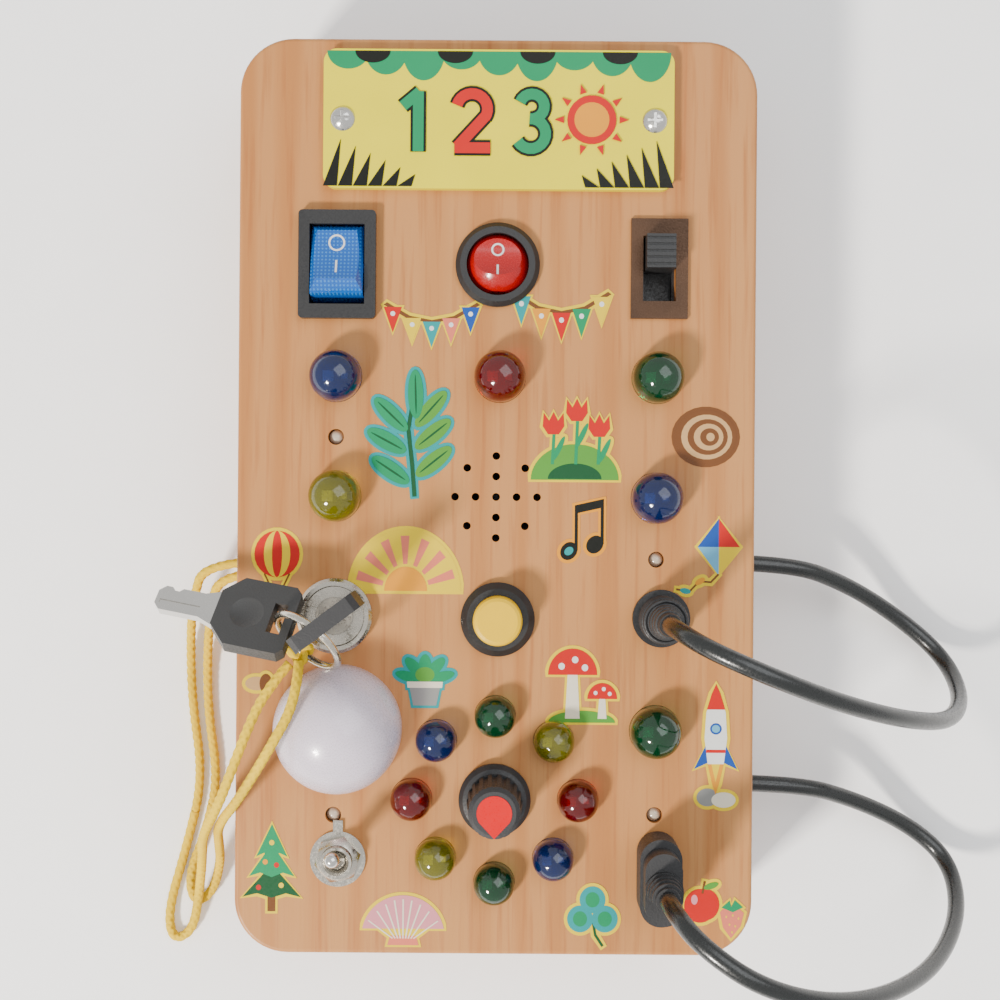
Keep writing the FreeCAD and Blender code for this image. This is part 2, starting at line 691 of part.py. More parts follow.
# Round rocker switch
round_bezel = revolved("round_bezel", [(as_size(0), as_size(0)), (round_bezel_radius, as_size(0)),
                                       (round_bezel_radius, bezel_thick * 0.5),
                                       (round_bezel_radius - 0.9, bezel_thick), (as_size(0), bezel_thick)],
                       0, round_rocker_y, face)
round_body = rod("round_body", round_body_radius, rocker_body_depth, 0, round_rocker_y, face - rocker_body_depth)
round_mouth_radius = size("round_mouth_radius", 6.05)
round_well = rod("round_well", round_button_radius + 0.2, 8, 0, round_rocker_y, face - 8)
round_mouth = rod("round_mouth", round_mouth_radius, 4, 0, round_rocker_y, face - 0.5)
round_pin_radius = pin_radius * 0.8
round_sockets_length = 2 * (round_body_radius - 0.1)
round_sockets = tilted("round_sockets", [rod("round_socket", round_pin_radius + SLACK, round_sockets_length)],
                       V(0, 1, 0), as_size(90), -(round_sockets_length / 2), round_rocker_y, pivot_z)
named(cut("round_housing_cut", fuse("round_housing_solid", round_bezel, round_body), round_well, round_mouth,
          round_sockets), "round_rocker_housing")
round_top_half = size("round_top_half", 4.2)
round_profile_half = round_button_radius + 0.4
round_solid = rocker_profile("round_solid", float(round_profile_half), float(round_top_half),
                                         round_profile_half)
round_button = common("round_button_shape", round_solid, ball("round_trim", round_button_radius))
round_pins = tilted("round_pins", [rod("round_pin", round_pin_radius, round_sockets_length - 0.2)], V(0, 1, 0),
                    as_size(90), -(round_sockets_length / 2) + 0.1, 0, 0)
named(tilted("round_rocker_set", [fuse("round_pinned", round_button, round_pins)], V(1, 0, 0), -rocker_tilt, 0,
             round_rocker_y, pivot_z), "round_rocker_button")

# Slide switch: metal face plate, moulded body behind the panel, ridged slider
slide_plate = box("slide_plate", slide_plate_width, slide_plate_length, slide_plate_thick, slide_x, slide_y, face)
slide_gap = box("slide_gap", slide_gap_width, slide_gap_length, 3, slide_x, slide_y, face - 1)
named(cut("slide_plate_cut", slide_plate, slide_gap), "slide_switch_plate")
slide_block = box("slide_block", slide_body_width, slide_body_length, 6, slide_x, slide_y, panel_under - 6)
slide_trough = box("slide_trough", slide_gap_width - 1, slide_gap_length, 3, slide_x, slide_y, panel_under - 3)
named(cut("slide_body_cut", slide_block, slide_trough), "slide_switch_body")
slider_length = slide_gap_length - slide_travel - 0.4
slider_y = slide_y + slide_travel / 2
slider_foot = box("slider_foot", slide_gap_width - 1.6, slider_length - 0.4, 2.4, slide_x, slider_y,
                  panel_under - 2.7)
slider_post = box("slider_post", slide_gap_width - 0.8, slider_length, panel_thick + slide_knob_height - 0.3,
                  slide_x, slider_y, panel_under - 0.3 + 0.6)
ridge_pitch = size("ridge_pitch", 1.25)
ridges = [box("ridge", slide_gap_width, 0.5, 0.7, slide_x, slider_y + ridge_pitch * i,
              panel_under + panel_thick + slide_knob_height - 0.3) for i in range(-2, 3)]
slider_neck = box("slider_neck", slide_gap_width - 2, slider_length - 1, 1.4, slide_x, slider_y,
                  panel_under - 0.7)
named(cut("slider_ridged", fuse("slider_solid", slider_foot, slider_neck, slider_post), *ridges),
      "slide_switch_knob")

# Key lock: turned nickel bezel and barrel, core with a keyway
lock_face = face + lock_bezel_thick - lock_face_sunk
barrel_low = face - lock_barrel_length
lock_outline = [(lock_core_radius + SLACK, as_size(0)), (lock_barrel_radius, as_size(0)),
                (lock_barrel_radius, lock_barrel_length), (lock_bezel_radius, lock_barrel_length),
                (lock_bezel_radius, lock_barrel_length + lock_bezel_thick - 0.6),
                (lock_bezel_radius - 0.6, lock_barrel_length + lock_bezel_thick),
                (lock_barrel_radius, lock_barrel_length + lock_bezel_thick),
                (lock_barrel_radius - 0.2, lock_barrel_length + lock_bezel_thick - lock_face_sunk),
                (lock_core_radius + SLACK, lock_barrel_length + lock_bezel_thick - lock_face_sunk)]
lock_shell = revolved("lock_shell", lock_outline, lock_x, lock_y, barrel_low)
witness = rod("witness", 0.45, 2, lock_x + 2.4, lock_y - 4.4, lock_face - 1)
named(cut("lock_body_cut", lock_shell, witness), "lock_body")
core_rod = rod("core_rod", lock_core_radius, lock_barrel_length + lock_bezel_thick - lock_face_sunk)
keyway_low = lock_barrel_length + lock_bezel_thick - lock_face_sunk - key_blade_length - 0.6
keyway = box("keyway", key_blade_width + 2 * SLACK, key_blade_thick + 2 * SLACK, 20, 0, 0, keyway_low)
tail = box("tail", 3, 1.6, 2.5, 0, 0, -2.4)
named(tilted("lock_core_set", [fuse("core_tailed", cut("core_cut", core_rod, keyway), tail)], V(0, 0, 1),
             key_angle, lock_x, lock_y, barrel_low), "lock_core")


def key_pieces(name):
    """Key head and blade about the centre of the ring slot, blade pointing down -Z."""
    head_top = key_slot_drop
    head_low = key_slot_drop - key_head_height
    half = key_head_width / 2
    body = doc.addObject("PartDesign::Body", name + "_head")
    sketch = sketch_on(body, "XZ_Plane", name + "_outline")
    step = 1.2
    shoulder = 3.6
    points = [(-half + step, head_top), (-half, head_top - step), (-half, head_low + shoulder)]
    points += [(-half + shoulder, head_low), (half - shoulder, head_low), (half, head_low + shoulder)]
    points += [(half, head_top - step), (half - step, head_top)]
    add_outline(sketch, points)
    feature = pad(body, sketch, name + "_pad", key_head_thick)
    feature.Midplane = True
    gap = sketch_on(body, "XZ_Plane", name + "_gap")
    add_rectangle(gap, key_slot_width, key_slot_height, as_size(0), as_size(0))
    hole = pocket(body, gap, name + "_slot")
    hole.Midplane = True
    doc.recompute()
    thumb = []
    for side in (-1, 1):
        scoop = ball(name + "_thumb", 9, 0, side * (key_head_thick / 2 + 8.4), head_low + key_head_height * 0.4)
        thumb.append(scoop)
    head = cut(name + "_head_scooped", body, *thumb)
    blade_top = head_low
    blade = doc.addObject("PartDesign::Body", name + "_blade")
    profile = sketch_on(blade, "XZ_Plane", name + "_blade_outline")
    edge = key_blade_width / 2
    flare_half = half - shoulder
    low = blade_top - key_flare - key_blade_length
    outline = [(-flare_half, blade_top), (-edge, blade_top - key_flare), (-edge, low + 1.2), (-edge + 1.2, low)]
    notch = 0.7
    outline += [(edge - 1.2, low), (edge, low + 1.2), (edge, low + 2.4), (edge - notch, low + 3.1)]
    outline += [(edge - notch, low + 3.9), (edge, low + 4.6), (edge, blade_top - key_flare)]
    outline += [(flare_half, blade_top)]
    add_outline(profile, outline)
    feature = pad(blade, profile, name + "_blade_pad", key_blade_thick)
    feature.Midplane = True
    groove = box(name + "_groove", 0.9, 0.5, key_blade_length - 1, -0.8, key_blade_thick / 2, low + 0.8)
    return head, cut(name + "_blade_grooved", blade, groove)


# The key in the lock, standing along the keyway
slot_height = lock_face + key_stand + key_head_height - key_slot_drop
head, blade = key_pieces("inserted")
named(tilted("key_head_set", [head], V(0, 0, 1), key_angle, lock_x, lock_y, slot_height), "key_head")
named(tilted("key_blade_set", [blade], V(0, 0, 1), key_angle, lock_x, lock_y, slot_height), "key_blade")

# The ring passes through that slot and droops sideways; the spare key hangs on it
key_turn = math.radians(float(key_angle))
along = V(math.cos(key_turn), math.sin(key_turn), 0)
across = V(-math.sin(key_turn), math.cos(key_turn), 0)
slot_offset = size("slot_offset", -2)
slot_spot = V(float(lock_x), float(lock_y), float(slot_height)) + along * float(slot_offset)
yaw = FreeCAD.Rotation(V(0, 0, 1), float(ring_yaw))
ring_across = yaw.multVec(across)
ring_side = yaw.multVec(along)
droop = math.radians(float(ring_droop))
ring_down = ring_side * -math.cos(droop) + V(0, 0, -math.sin(droop))
ring_centre = slot_spot + ring_down * float(ring_radius)
ring_normal = ring_across.cross(ring_down)
key_ring = doc.addObject("Part::Torus", "key_ring")
bind(key_ring, "Radius1", ring_radius)
bind(key_ring, "Radius2", ring_wire)
key_ring.Placement = FreeCAD.Placement(ring_centre, FreeCAD.Rotation(ring_across, ring_down, ring_normal, "ZXY"))
named(key_ring, "key_ring")
spare_turn = math.radians(float(size("spare_turn", 22)))
spare_out = ring_across * math.cos(spare_turn) + ring_down * math.sin(spare_turn)
spare_spot = ring_centre + spare_out * float(ring_radius)
spare_wire = ring_down * math.cos(spare_turn) - ring_across * math.sin(spare_turn)
spare_aim = V(-1, -0.1, -0.55)
spare_aim = (spare_aim - spare_wire * spare_aim.dot(spare_wire)).normalize()
spare_turned = FreeCAD.Rotation((spare_wire * -1).cross(spare_aim * -1), spare_wire * -1, spare_aim * -1, "ZYX")
head, blade = key_pieces("spare")
for piece, label in ((head, "spare_key_head"), (blade, "spare_key_blade")):
    holder = group(label + "_set", [piece])
    holder.Placement = FreeCAD.Placement(spare_spot, spare_turned)
    named(holder, label)
print("ring slot", slot_spot, "ring centre", ring_centre)
print("ring axis", ring_across, "spare slot", spare_spot, "wire", spare_wire, "aim", spare_aim)

# Dome light cover: thin bowl, upside down, on a short rim
dome_outer = ball("dome_outer", dome_radius, dome_x, dome_y, face + dome_base)
dome_rim = rod("dome_rim", dome_radius, dome_base, dome_x, dome_y, face)
dome_hollow = ball("dome_hollow", dome_radius - dome_wall, dome_x, dome_y, face + dome_base)
dome_void = rod("dome_void", dome_radius - dome_wall, dome_base, dome_x, dome_y, face)
below = box("below", 2 * dome_radius + 2, 2 * dome_radius + 2, 40, dome_x, dome_y, face - 40)
named(cut("dome_cut", fuse("dome_solid", dome_outer, dome_rim), dome_hollow, dome_void, below), "dome_cover")

# Push button: threaded body, sprung cap
button_low = face - button_barrel_length
cap_bore = button_cap_radius + SLACK
button_outline = [(as_size(0), as_size(0)), (button_barrel_radius, as_size(0)),
                  (button_barrel_radius, button_barrel_length), (button_bezel_radius, button_barrel_length),
                  (button_bezel_radius, button_barrel_length + button_bezel_thick * 0.5),
                  (button_bezel_radius - 1.2, button_barrel_length + button_bezel_thick),
                  (cap_bore, button_barrel_length + button_bezel_thick), (cap_bore, as_size(3)),
                  (as_size(0), as_size(3))]
named(revolved("button_shell", button_outline, button_x, button_y, button_low), "button_body")
cap_low = as_size(8)
cap_top = button_barrel_length + button_bezel_thick + button_cap_proud
cap_outline = [(as_size(0), cap_low + 3), (button_cap_radius - 1, cap_low + 3), (button_cap_radius - 1, cap_low),
               (button_cap_radius, cap_low), (button_cap_radius, cap_top - 0.9),
               (button_cap_radius - 0.3, cap_top - 0.3), (button_cap_radius - 0.9, cap_top),
               (as_size(0), cap_top)]
named(revolved("button_cap_turned", cap_outline, button_x, button_y, button_low), "button_cap")
coil_low = 3 + 0.1
coil_height = float(cap_low) + 3 - coil_low - 0.1 - 2 * float(button_wire)
coil_pitch = coil_height / float(button_turns)
coil_path = Part.makeLongHelix(coil_pitch, coil_height, float(button_coil_radius), 0)
coil_start = Part.Wire(Part.Circle(V(float(button_coil_radius), 0, 0), V(0, 1, 0), float(button_wire)).toShape())
coil_solid = Part.Wire(coil_path).makePipeShell([coil_start], True, True)
button_spring = doc.addObject("Part::Feature", "button_spring")
button_spring.Shape = coil_solid
place(button_spring, button_x, button_y, button_low + coil_low + button_wire)
named(button_spring, "button_spring")
print("spring gap between turns", coil_pitch - 2 * float(button_wire))

# Power socket and its round plug
socket_low = face - power_barrel_length
socket_bore = plug_barrel_radius + 0.15
socket_outline = [(as_size(0), as_size(0)), (power_barrel_radius, as_size(0)),
                  (power_barrel_radius, power_barrel_length), (power_flange_radius, power_barrel_length),
                  (power_flange_radius, power_barrel_length + power_flange_thick),
                  (socket_bore, power_barrel_length + power_flange_thick),
                  (socket_bore, as_size(2)), (as_size(0.95), as_size(2)),
                  (as_size(0.95), power_barrel_length - 1), (as_size(0), power_barrel_length - 0.5)]
named(revolved("socket_turned", socket_outline, power_x, power_y, socket_low), "dc_socket")
plug_seat = face + power_flange_thick + 0.3
named(revolved("plug_barrel_turned", [(as_size(1.2), -plug_barrel_length), (plug_barrel_radius, -plug_barrel_length),
                                      (plug_barrel_radius, as_size(0)), (as_size(1.2), as_size(0))],
               power_x, power_y, plug_seat), "dc_plug_barrel")
grip_points = [(as_size(0), as_size(0)), (plug_grip_radius, as_size(0)), (plug_grip_radius, plug_grip_length * 0.4),
               (plug_grip_radius * 0.9, plug_grip_length * 0.44)]
grip_ribs = 4
for i in range(grip_ribs):
    low = plug_grip_length * (0.46 + 0.12 * i)
    grip_points.append((plug_grip_radius * (0.86 - 0.07 * i), low))
    grip_points.append((plug_grip_radius * (0.84 - 0.07 * i), low + plug_grip_length * 0.07))
    grip_points.append((plug_grip_radius * (0.7 - 0.05 * i), low + plug_grip_length * 0.075))
    grip_points.append((plug_grip_radius * (0.69 - 0.05 * i), low + plug_grip_length * 0.115))
grip_points += [(cable_radius * 1.2, plug_grip_length), (as_size(0), plug_grip_length)]
named(revolved("plug_grip_turned", grip_points, power_x, power_y, plug_seat), "dc_plug_grip")

# USB socket behind the panel and the stepped plug
shell_outer = box("shell_outer", usb_shell_length, usb_shell_width, usb_shell_depth, 0, 0, -usb_shell_depth)
shell_inner = box("shell_inner", usb_shell_length - 2 * usb_sheet, usb_shell_width - 2 * usb_sheet,
                  usb_shell_depth - 1, 0, 0, -(usb_shell_depth - 1))
named(tilted("usb_shell_set", [cut("usb_shell_cut", shell_outer, shell_inner)], V(0, 0, 1), as_size(90), usb_x,
             usb_y, face), "usb_socket_shell")
tongue_offset = usb_plug_width / 2 - usb_sheet - 1.3
tongue = box("tongue", usb_plug_length - 1.6, 1.8, 9, 0, tongue_offset, -(usb_shell_depth - 1))
named(tilted("usb_tongue_set", [tongue], V(0, 0, 1), as_size(90), usb_x, usb_y, face), "usb_socket_tongue")
usb_seat = 0.4
plug_outer = box("plug_outer", usb_plug_length, usb_plug_width, usb_plug_reach + 0.3, 0, 0, -usb_plug_reach)
plug_inner = box("plug_inner", usb_plug_length - 2 * usb_sheet, usb_plug_width - 2 * usb_sheet,
                 usb_plug_reach - 1, 0, 0, -usb_plug_reach)
named(tilted("usb_plug_shell_set", [cut("usb_plug_shell_cut", plug_outer, plug_inner)], V(0, 0, 1), as_size(90),
             usb_x, usb_y, face + usb_seat), "usb_plug_shell")
grip_low = face + usb_seat + 0.3


def usb_layer(name, length, width, height, low):
    body = slab(name, length, width, height, width / 2 - 0.05)
    place(body, 0, 0, low)
    return body


grip_base = usb_layer("usb_grip_base", usb_grip_length, usb_grip_width, usb_grip_height * 0.6, as_size(0))
grip_step = usb_layer("usb_grip_step", usb_grip_length - 3, usb_grip_width - 1, usb_grip_height * 0.4,
                      usb_grip_height * 0.6)
relief = [cone("usb_relief", cable_radius * 1.9, cable_radius * 1.3, usb_relief_height, 0, 0, usb_grip_height)]
relief_ribs = 4
for i in range(relief_ribs):
    relief.append(rod("usb_rib", cable_radius * (2.1 - 0.14 * i), usb_relief_height / relief_ribs * 0.5, 0, 0,
                      usb_grip_height + usb_relief_height / relief_ribs * i))
named(tilted("usb_grip_set", [fuse("usb_grip_solid", grip_base, grip_step, *relief)], V(0, 0, 1), as_size(90),
             usb_x, usb_y, grip_low), "usb_plug_grip")

# Toggle switch: bushing and body, tabbed washer, hex nut, bat lever on a ball
toggle_body_depth = size("toggle_body_depth", 9)
bush = rod("bush", toggle_bush_radius, toggle_bush_proud + panel_thick + 0.1, 0, 0, -panel_thick - 0.1)
toggle_block = box("toggle_block", 8, 12.2, toggle_body_depth, 0, 0, -(panel_thick + toggle_body_depth))
ball_spot = toggle_bush_proud - 2.6
socket = ball("toggle_socket", toggle_ball_radius + SLACK, 0, 0, ball_spot)
throat = cone("throat", toggle_ball_radius * 0.75, toggle_ball_radius * 1.3, toggle_bush_proud - ball_spot, 0, 0,
              ball_spot)
toggle_cut = cut("toggle_cut", fuse("toggle_solid", bush, toggle_block), socket, throat)
named(place(group("toggle_body_set", [toggle_cut]), toggle_x, toggle_y, face), "toggle_body")
washer = rod("washer", toggle_washer_radius, toggle_washer_thick)
washer_tab = box("washer_tab", 1.9, 2.4, toggle_washer_thick, 0, toggle_washer_radius + 0.9)
washer_hole = rod("washer_hole", toggle_bush_radius + SLACK, toggle_washer_thick)
named(place(group("washer_set", [cut("washer_cut", fuse("washer_solid", washer, washer_tab), washer_hole)]),
            toggle_x, toggle_y, face), "toggle_washer")
nut_block = hexagon("nut_block", toggle_nut_flat, toggle_nut_thick)
nut_dome = ball("nut_dome", toggle_nut_flat * 0.72, 0, 0, toggle_nut_thick - toggle_nut_flat * 0.62)
nut_hole = rod("nut_hole", toggle_bush_radius + SLACK, toggle_nut_thick)
named(tilted("nut_set", [cut("nut_cut", common("nut_round", nut_block, nut_dome), nut_hole)], V(0, 0, 1),
             as_size(13), toggle_x, toggle_y, face + toggle_washer_thick), "toggle_nut")
lever_ball = ball("lever_ball", toggle_ball_radius)
lever_bat = cone("lever_bat", 1.05, 1.45, toggle_lever_length)
lever_tip = ball("lever_tip", 1.45, 0, 0, toggle_lever_length)
named(tilted("lever_set", [fuse("lever_solid", lever_ball, lever_bat, lever_tip)], V(1, 0, 0), -toggle_lean,
             toggle_x, toggle_y, face + ball_spot), "toggle_lever")

# Rotary switch, shaft and fluted knob with its red pointer
rotary_low = panel_under - rotary_depth
rotary_can = rod("rotary_can", rotary_radius, rotary_depth, knob_x, knob_y, rotary_low)
rotary_collar = rod("rotary_collar", shaft_radius + 0.5, panel_thick - 0.2, knob_x, knob_y, panel_under)
rotary_bore = rod("rotary_bore", shaft_radius + SLACK, rotary_depth + panel_thick, knob_x, knob_y, rotary_low + 1)
named(cut("rotary_cut", fuse("rotary_solid", rotary_can, rotary_collar), rotary_bore), "rotary_body")
knob_low = face + knob_lift
shaft_low = rotary_low + 1.2
knob_bore_depth = size("knob_bore_depth", 9)
named(rod("rotary_shaft", shaft_radius, knob_low + knob_bore_depth - 0.1 - shaft_low, knob_x, knob_y, shaft_low),
      "rotary_shaft")
knob_outline = [(shaft_radius + FINE_SLACK, as_size(0)), (knob_skirt_radius, as_size(0)),
                (knob_skirt_radius, as_size(1.2)), (knob_skirt_radius - 0.8, as_size(2.2)),
                (knob_body_radius + 0.4, as_size(2.6)), (knob_body_radius - 0.1, knob_height - 0.8),
                (knob_body_radius - 0.9, knob_height), (as_size(0), knob_height), (as_size(0), knob_bore_depth),
                (shaft_radius + FINE_SLACK, knob_bore_depth)]
knob = revolved("knob_turned", knob_outline)
flute_sketch = sketch_on(knob, "XY_Plane", "flute_outline")
add_circle(flute_sketch, as_size(0.55), knob_body_radius + 0.35, as_size(0))
flute = knob.newObject("PartDesign::Pocket", "flute")
flute.Profile = flute_sketch
flute.Type = "ThroughAll"
flute.Reversed = True
flute_low = as_size(2.8)
bind(flute_sketch, "AttachmentOffset.Base.z", flute_low)
doc.recompute()
flutes = knob.newObject("PartDesign::PolarPattern", "flutes")
flutes.Originals = [flute]
flutes.Axis = (flute_sketch, ["N_Axis"])
flutes.Angle = 360
flutes.Occurrences = int(float(knob_flutes))
knob.Tip = flutes
pointer_turn = size("pointer_turn", -90)
pointer_depth = size("pointer_depth", 0.8)


def pointer_outline(name, grow, thick, low):
    """Teardrop: a round end by the axis drawn out to a point over the rim."""
    blunt = float(as_size(1.5)) + grow
    reach = float(knob_body_radius) - 0.9 + grow
    lean = math.acos(blunt / reach)
    upper = V(blunt * math.cos(lean), blunt * math.sin(lean), 0)
    lower = V(upper.x, -upper.y, 0)
    edges = [Part.Arc(upper, V(-blunt, 0, 0), lower).toShape(), Part.LineSegment(lower, V(reach, 0, 0)).toShape()]
    edges.append(Part.LineSegment(V(reach, 0, 0), upper).toShape())
    solid = Part.Face(Part.Wire(edges)).extrude(V(0, 0, thick))
    feature = doc.addObject("Part::Feature", name)
    feature.Shape = solid
    place(feature, 0, 0, low)
    return feature


pointer_low = knob_height - pointer_depth
pointer_seat = pointer_outline("pointer_seat", FINE_SLACK, float(pointer_depth) + 1, pointer_low)
named(tilted("knob_set", [cut("knob_cut", knob, pointer_seat)], V(0, 0, 1), pointer_turn, knob_x, knob_y,
             knob_low), "knob_body")
pointer = pointer_outline("pointer_inlay", 0, float(pointer_depth) + 0.15, pointer_low)
named(tilted("pointer_set", [pointer], V(0, 0, 1), pointer_turn, knob_x, knob_y, knob_low), "knob_pointer")

# Panel nuts behind the panel, and the solder lugs of the two rocker switches
nuts = []
for x, y, flat, bore in ((lock_x, lock_y, 15, lock_barrel_radius), (button_x, button_y, 14, button_barrel_radius),
                         (power_x, power_y, 11, power_barrel_radius)):
    nut = hexagon("panel_nut", as_size(flat), as_size(2), x, y, panel_under - 2)
    nuts.append(cut("panel_nut_cut", nut, rod("nut_bore", bore + SLACK, 3, x, y, panel_under - 2.5)))
named(group("nut_group", nuts), "back_nuts")
lugs = []
for x, y in ((rocker_x, rocker_y), (as_size(0), round_rocker_y)):
    for side in (-1, 1):
        lug = box("lug", 4.8, 0.8, 6, x, y + 3.5 * side, face - rocker_body_depth - 6)
        lug_hole = tilted("lug_hole", [rod("lug_bore", 0.7, 3)], V(1, 0, 0), as_size(90), x, y + 3.5 * side + 1.5,
                          face - rocker_body_depth - 4)
        lugs.append(cut("lug_cut", lug, lug_hole))
named(group("lug_group", lugs), "solder_lugs")

# Speaker under the sound holes, and the circuit board on its four posts
speaker_basket = rod("speaker_basket", speaker_radius, speaker_height, 0, 0, panel_under - speaker_height)
speaker_cone = cone("speaker_cone", 3, speaker_radius - 0.8, 2.5, 0, 0, panel_under - 2.5)
named(cut("speaker_cut", speaker_basket, speaker_cone), "speaker")
circuit_width = size("circuit_width", 60)
circuit_length = size("circuit_length", 20)
circuit_lift = size("circuit_lift", 4)
circuit_y = size("circuit_y", 70)
circuit = [box("circuit", circuit_width, circuit_length, 1.6, 0, circuit_y, cover_thick + circuit_lift)]
for side_x in (-1, 1):
    for side_y in (-1, 1):
        circuit.append(rod("post", 1.8, circuit_lift, side_x * (circuit_width / 2 - 3),
                           circuit_y + side_y * (circuit_length / 2 - 3), cover_thick))
for i in range(4):
    circuit.append(box("chip", 6, 8, 1.5, 13 * (i - 1.5), circuit_y, cover_thick + circuit_lift + 1.6))
named(fuse("circuit_solid", *circuit), "circuit_board")


def lamp(radius, top, low, flange, x, y):
    """A moulded lamp: flange, round body, domed top and two square legs."""
    body = rod("lamp_body", radius, top - radius - low, x, y, low)
    dome = ball("lamp_dome", radius, x, y, top - radius)
    rim = rod("lamp_rim", radius + lamp_rim, flange, x, y, low)
    legs = [box("lamp_leg", lamp_leg, lamp_leg, lamp_leg_length, x + 1.27 * side * radius / 5 * 1.6, y,
                low - lamp_leg_length) for side in (-1, 1)]
    return fuse("lamp_solid", body, dome, rim, *legs)


lamps = {"red": [], "green": [], "blue": [], "yellow": [], "clear": []}
flange_low = panel_under - lamp_flange
for x, y, colour in big_lamps + [(dome_x, dome_y, "clear")]:
    lamps[colour].append(lamp(big_lamp_radius, face + big_lamp_proud, flange_low, lamp_flange, x, y))
for x, y, colour in ring_lamps:
    lamps[colour].append(lamp(mid_lamp_radius, face + mid_lamp_proud, flange_low, lamp_flange, x, y))
for x, y in small_lamps:
    top = face - small_lamp_sunk
    lamps["clear"].append(lamp(small_lamp_radius, top, top - small_lamp_body, as_size(0.9), x, y))
for colour, pieces in lamps.items():
    named(group(colour + "_lamp_group", pieces), colour + "_leds")

# Stickers: thin printed ovals between the controls, centre then width and height
sticker_spots = [(-12.8, 32.9, 18.5, 11.7), (12.5, 34.7, 19.1, 13), (-16.4, 10.8, 20, 22.8),
                 (15.3, 11.7, 17.5, 17.4), (40.8, 12, 12.3, 11.1), (-17.5, -12.5, 22, 13.5),
                 (16.8, -6.4, 10.1, 13), (42, -11.4, 15, 15.8), (-42.6, -13.5, 12.3, 13.8),
                 (-46, -36.7, 6.2, 4.5), (-13.6, -36, 12.5, 10), (17, -36.5, 14.5, 15.5), (43.2, -48, 10.5, 25),
                 (-43.2, -72.5, 12.6, 17.5), (-17.5, -82.5, 17, 10.5), (19.4, -81.5, 11.5, 12.5),
                 (43, -80, 12.5, 12)]
stickers = doc.addObject("Part::Feature", "stickers")
ovals = []
for x, y, width, height in sticker_spots:
    wide, tall = width / 2, height / 2
    if wide >= tall:
        oval = Part.Ellipse(V(wide, 0, 0), V(0, tall, 0), V(0, 0, 0))
    else:
        oval = Part.Ellipse(V(0, tall, 0), V(-wide, 0, 0), V(0, 0, 0))
    solid = Part.Face(Part.Wire(oval.toShape())).extrude(V(0, 0, float(sticker_thick)))
    solid.translate(V(x, y, 0))
    ovals.append(solid)
stickers.Shape = Part.makeCompound(ovals)
place(stickers, 0, 0, face)
named(stickers, "stickers")


def corded(label, points, radius):
    """A tube of straight runs joined by tangent arcs, each as large as its two runs allow."""
    spots = [V(*point) for point in points]
    edges = []
    here = spots[0]
    length = 0
    radii = []
    for before, corner, after in zip(spots, spots[1:], spots[2:]):
        back = (before - corner).normalize()
        ahead = (after - corner).normalize()
        half_turn = (math.pi - back.getAngle(ahead)) / 2
        shorter = min((before - corner).Length, (after - corner).Length)
        trim = 0.45 * shorter
        bend = trim / math.tan(half_turn)
        radii.append(round(bend, 1))
        start = corner + back * trim
        end = corner + ahead * trim
        toward = (back + ahead).normalize()
        middle = corner + toward * (bend / math.cos(half_turn) - bend)
        edges.append(Part.LineSegment(here, start).toShape())
        edges.append(Part.Arc(start, middle, end).toShape())
        length += (start - here).Length + 2 * half_turn * bend
        here = end
    edges.append(Part.LineSegment(here, spots[-1]).toShape())
    length += (spots[-1] - here).Length
    profile = Part.Wire(Part.Circle(spots[0], spots[1] - spots[0], float(radius)).toShape())
    feature = doc.addObject("Part::Feature", label)
    feature.Shape = Part.Wire(edges).makePipeShell([profile], True, False)
    ideal = math.pi * float(radius) ** 2 * length
    print(label, "length", round(length, 1), "volume ratio", round(feature.Shape.Volume / ideal, 4), "radii", radii)
    named(feature, label)
    return feature


# Power cord: out of the top of its plug, over the right edge to the floor and back into the wall
cord_end = float(board_width) / 2 - float(wall_thick) - 2
plug_top = float(plug_seat + plug_grip_length)
power_route = [(float(power_x), float(power_y), plug_top), (float(power_x), float(power_y), plug_top + 7.5),
               (37.5, -26.5, 62.5), (48, -31, 64.5), (62, -36.5, 58), (77, -41, 46), (89, -43, 31),
               (95.5, -40, 14.5), (94.5, -33, 4), (85.5, -25, 3.2), (73, -17.5, 8), (60, float(power_cord_y), 14),
               (cord_end, float(power_cord_y), float(cord_height))]
corded("dc_cord", power_route, cable_radius)

# USB cord: the same way, lower down the board
usb_top = float(grip_low + usb_grip_height + usb_relief_height)
usb_route = [(float(usb_x), float(usb_y), usb_top), (float(usb_x), float(usb_y), usb_top + 7.5),
             (36.5, -78, 66), (46.5, -84.5, 67.5), (60, -89.5, 60), (74, -91.5, 47), (86.5, -90, 31.5),
             (95, -84, 15.5), (96, -76, 4.2), (88.5, -69, 2.8), (75.5, -62.5, 7.5), (61.5, float(usb_cord_y), 14),
             (cord_end, float(usb_cord_y), float(cord_height))]
corded("usb_cord", usb_route, cable_radius)

# Lanyard: two strands from the left wall, down to the floor, round and up to a knot on the ring
knot_radius = size("knot_radius", 2.6)
knot_spot = ring_centre + ring_down * (float(ring_radius) + 0.4)
strand_end = -cord_end


def to_knot(spot):
    outward = (V(*spot) - knot_spot).normalize() * float(knot_radius)
    return tuple(knot_spot + outward)


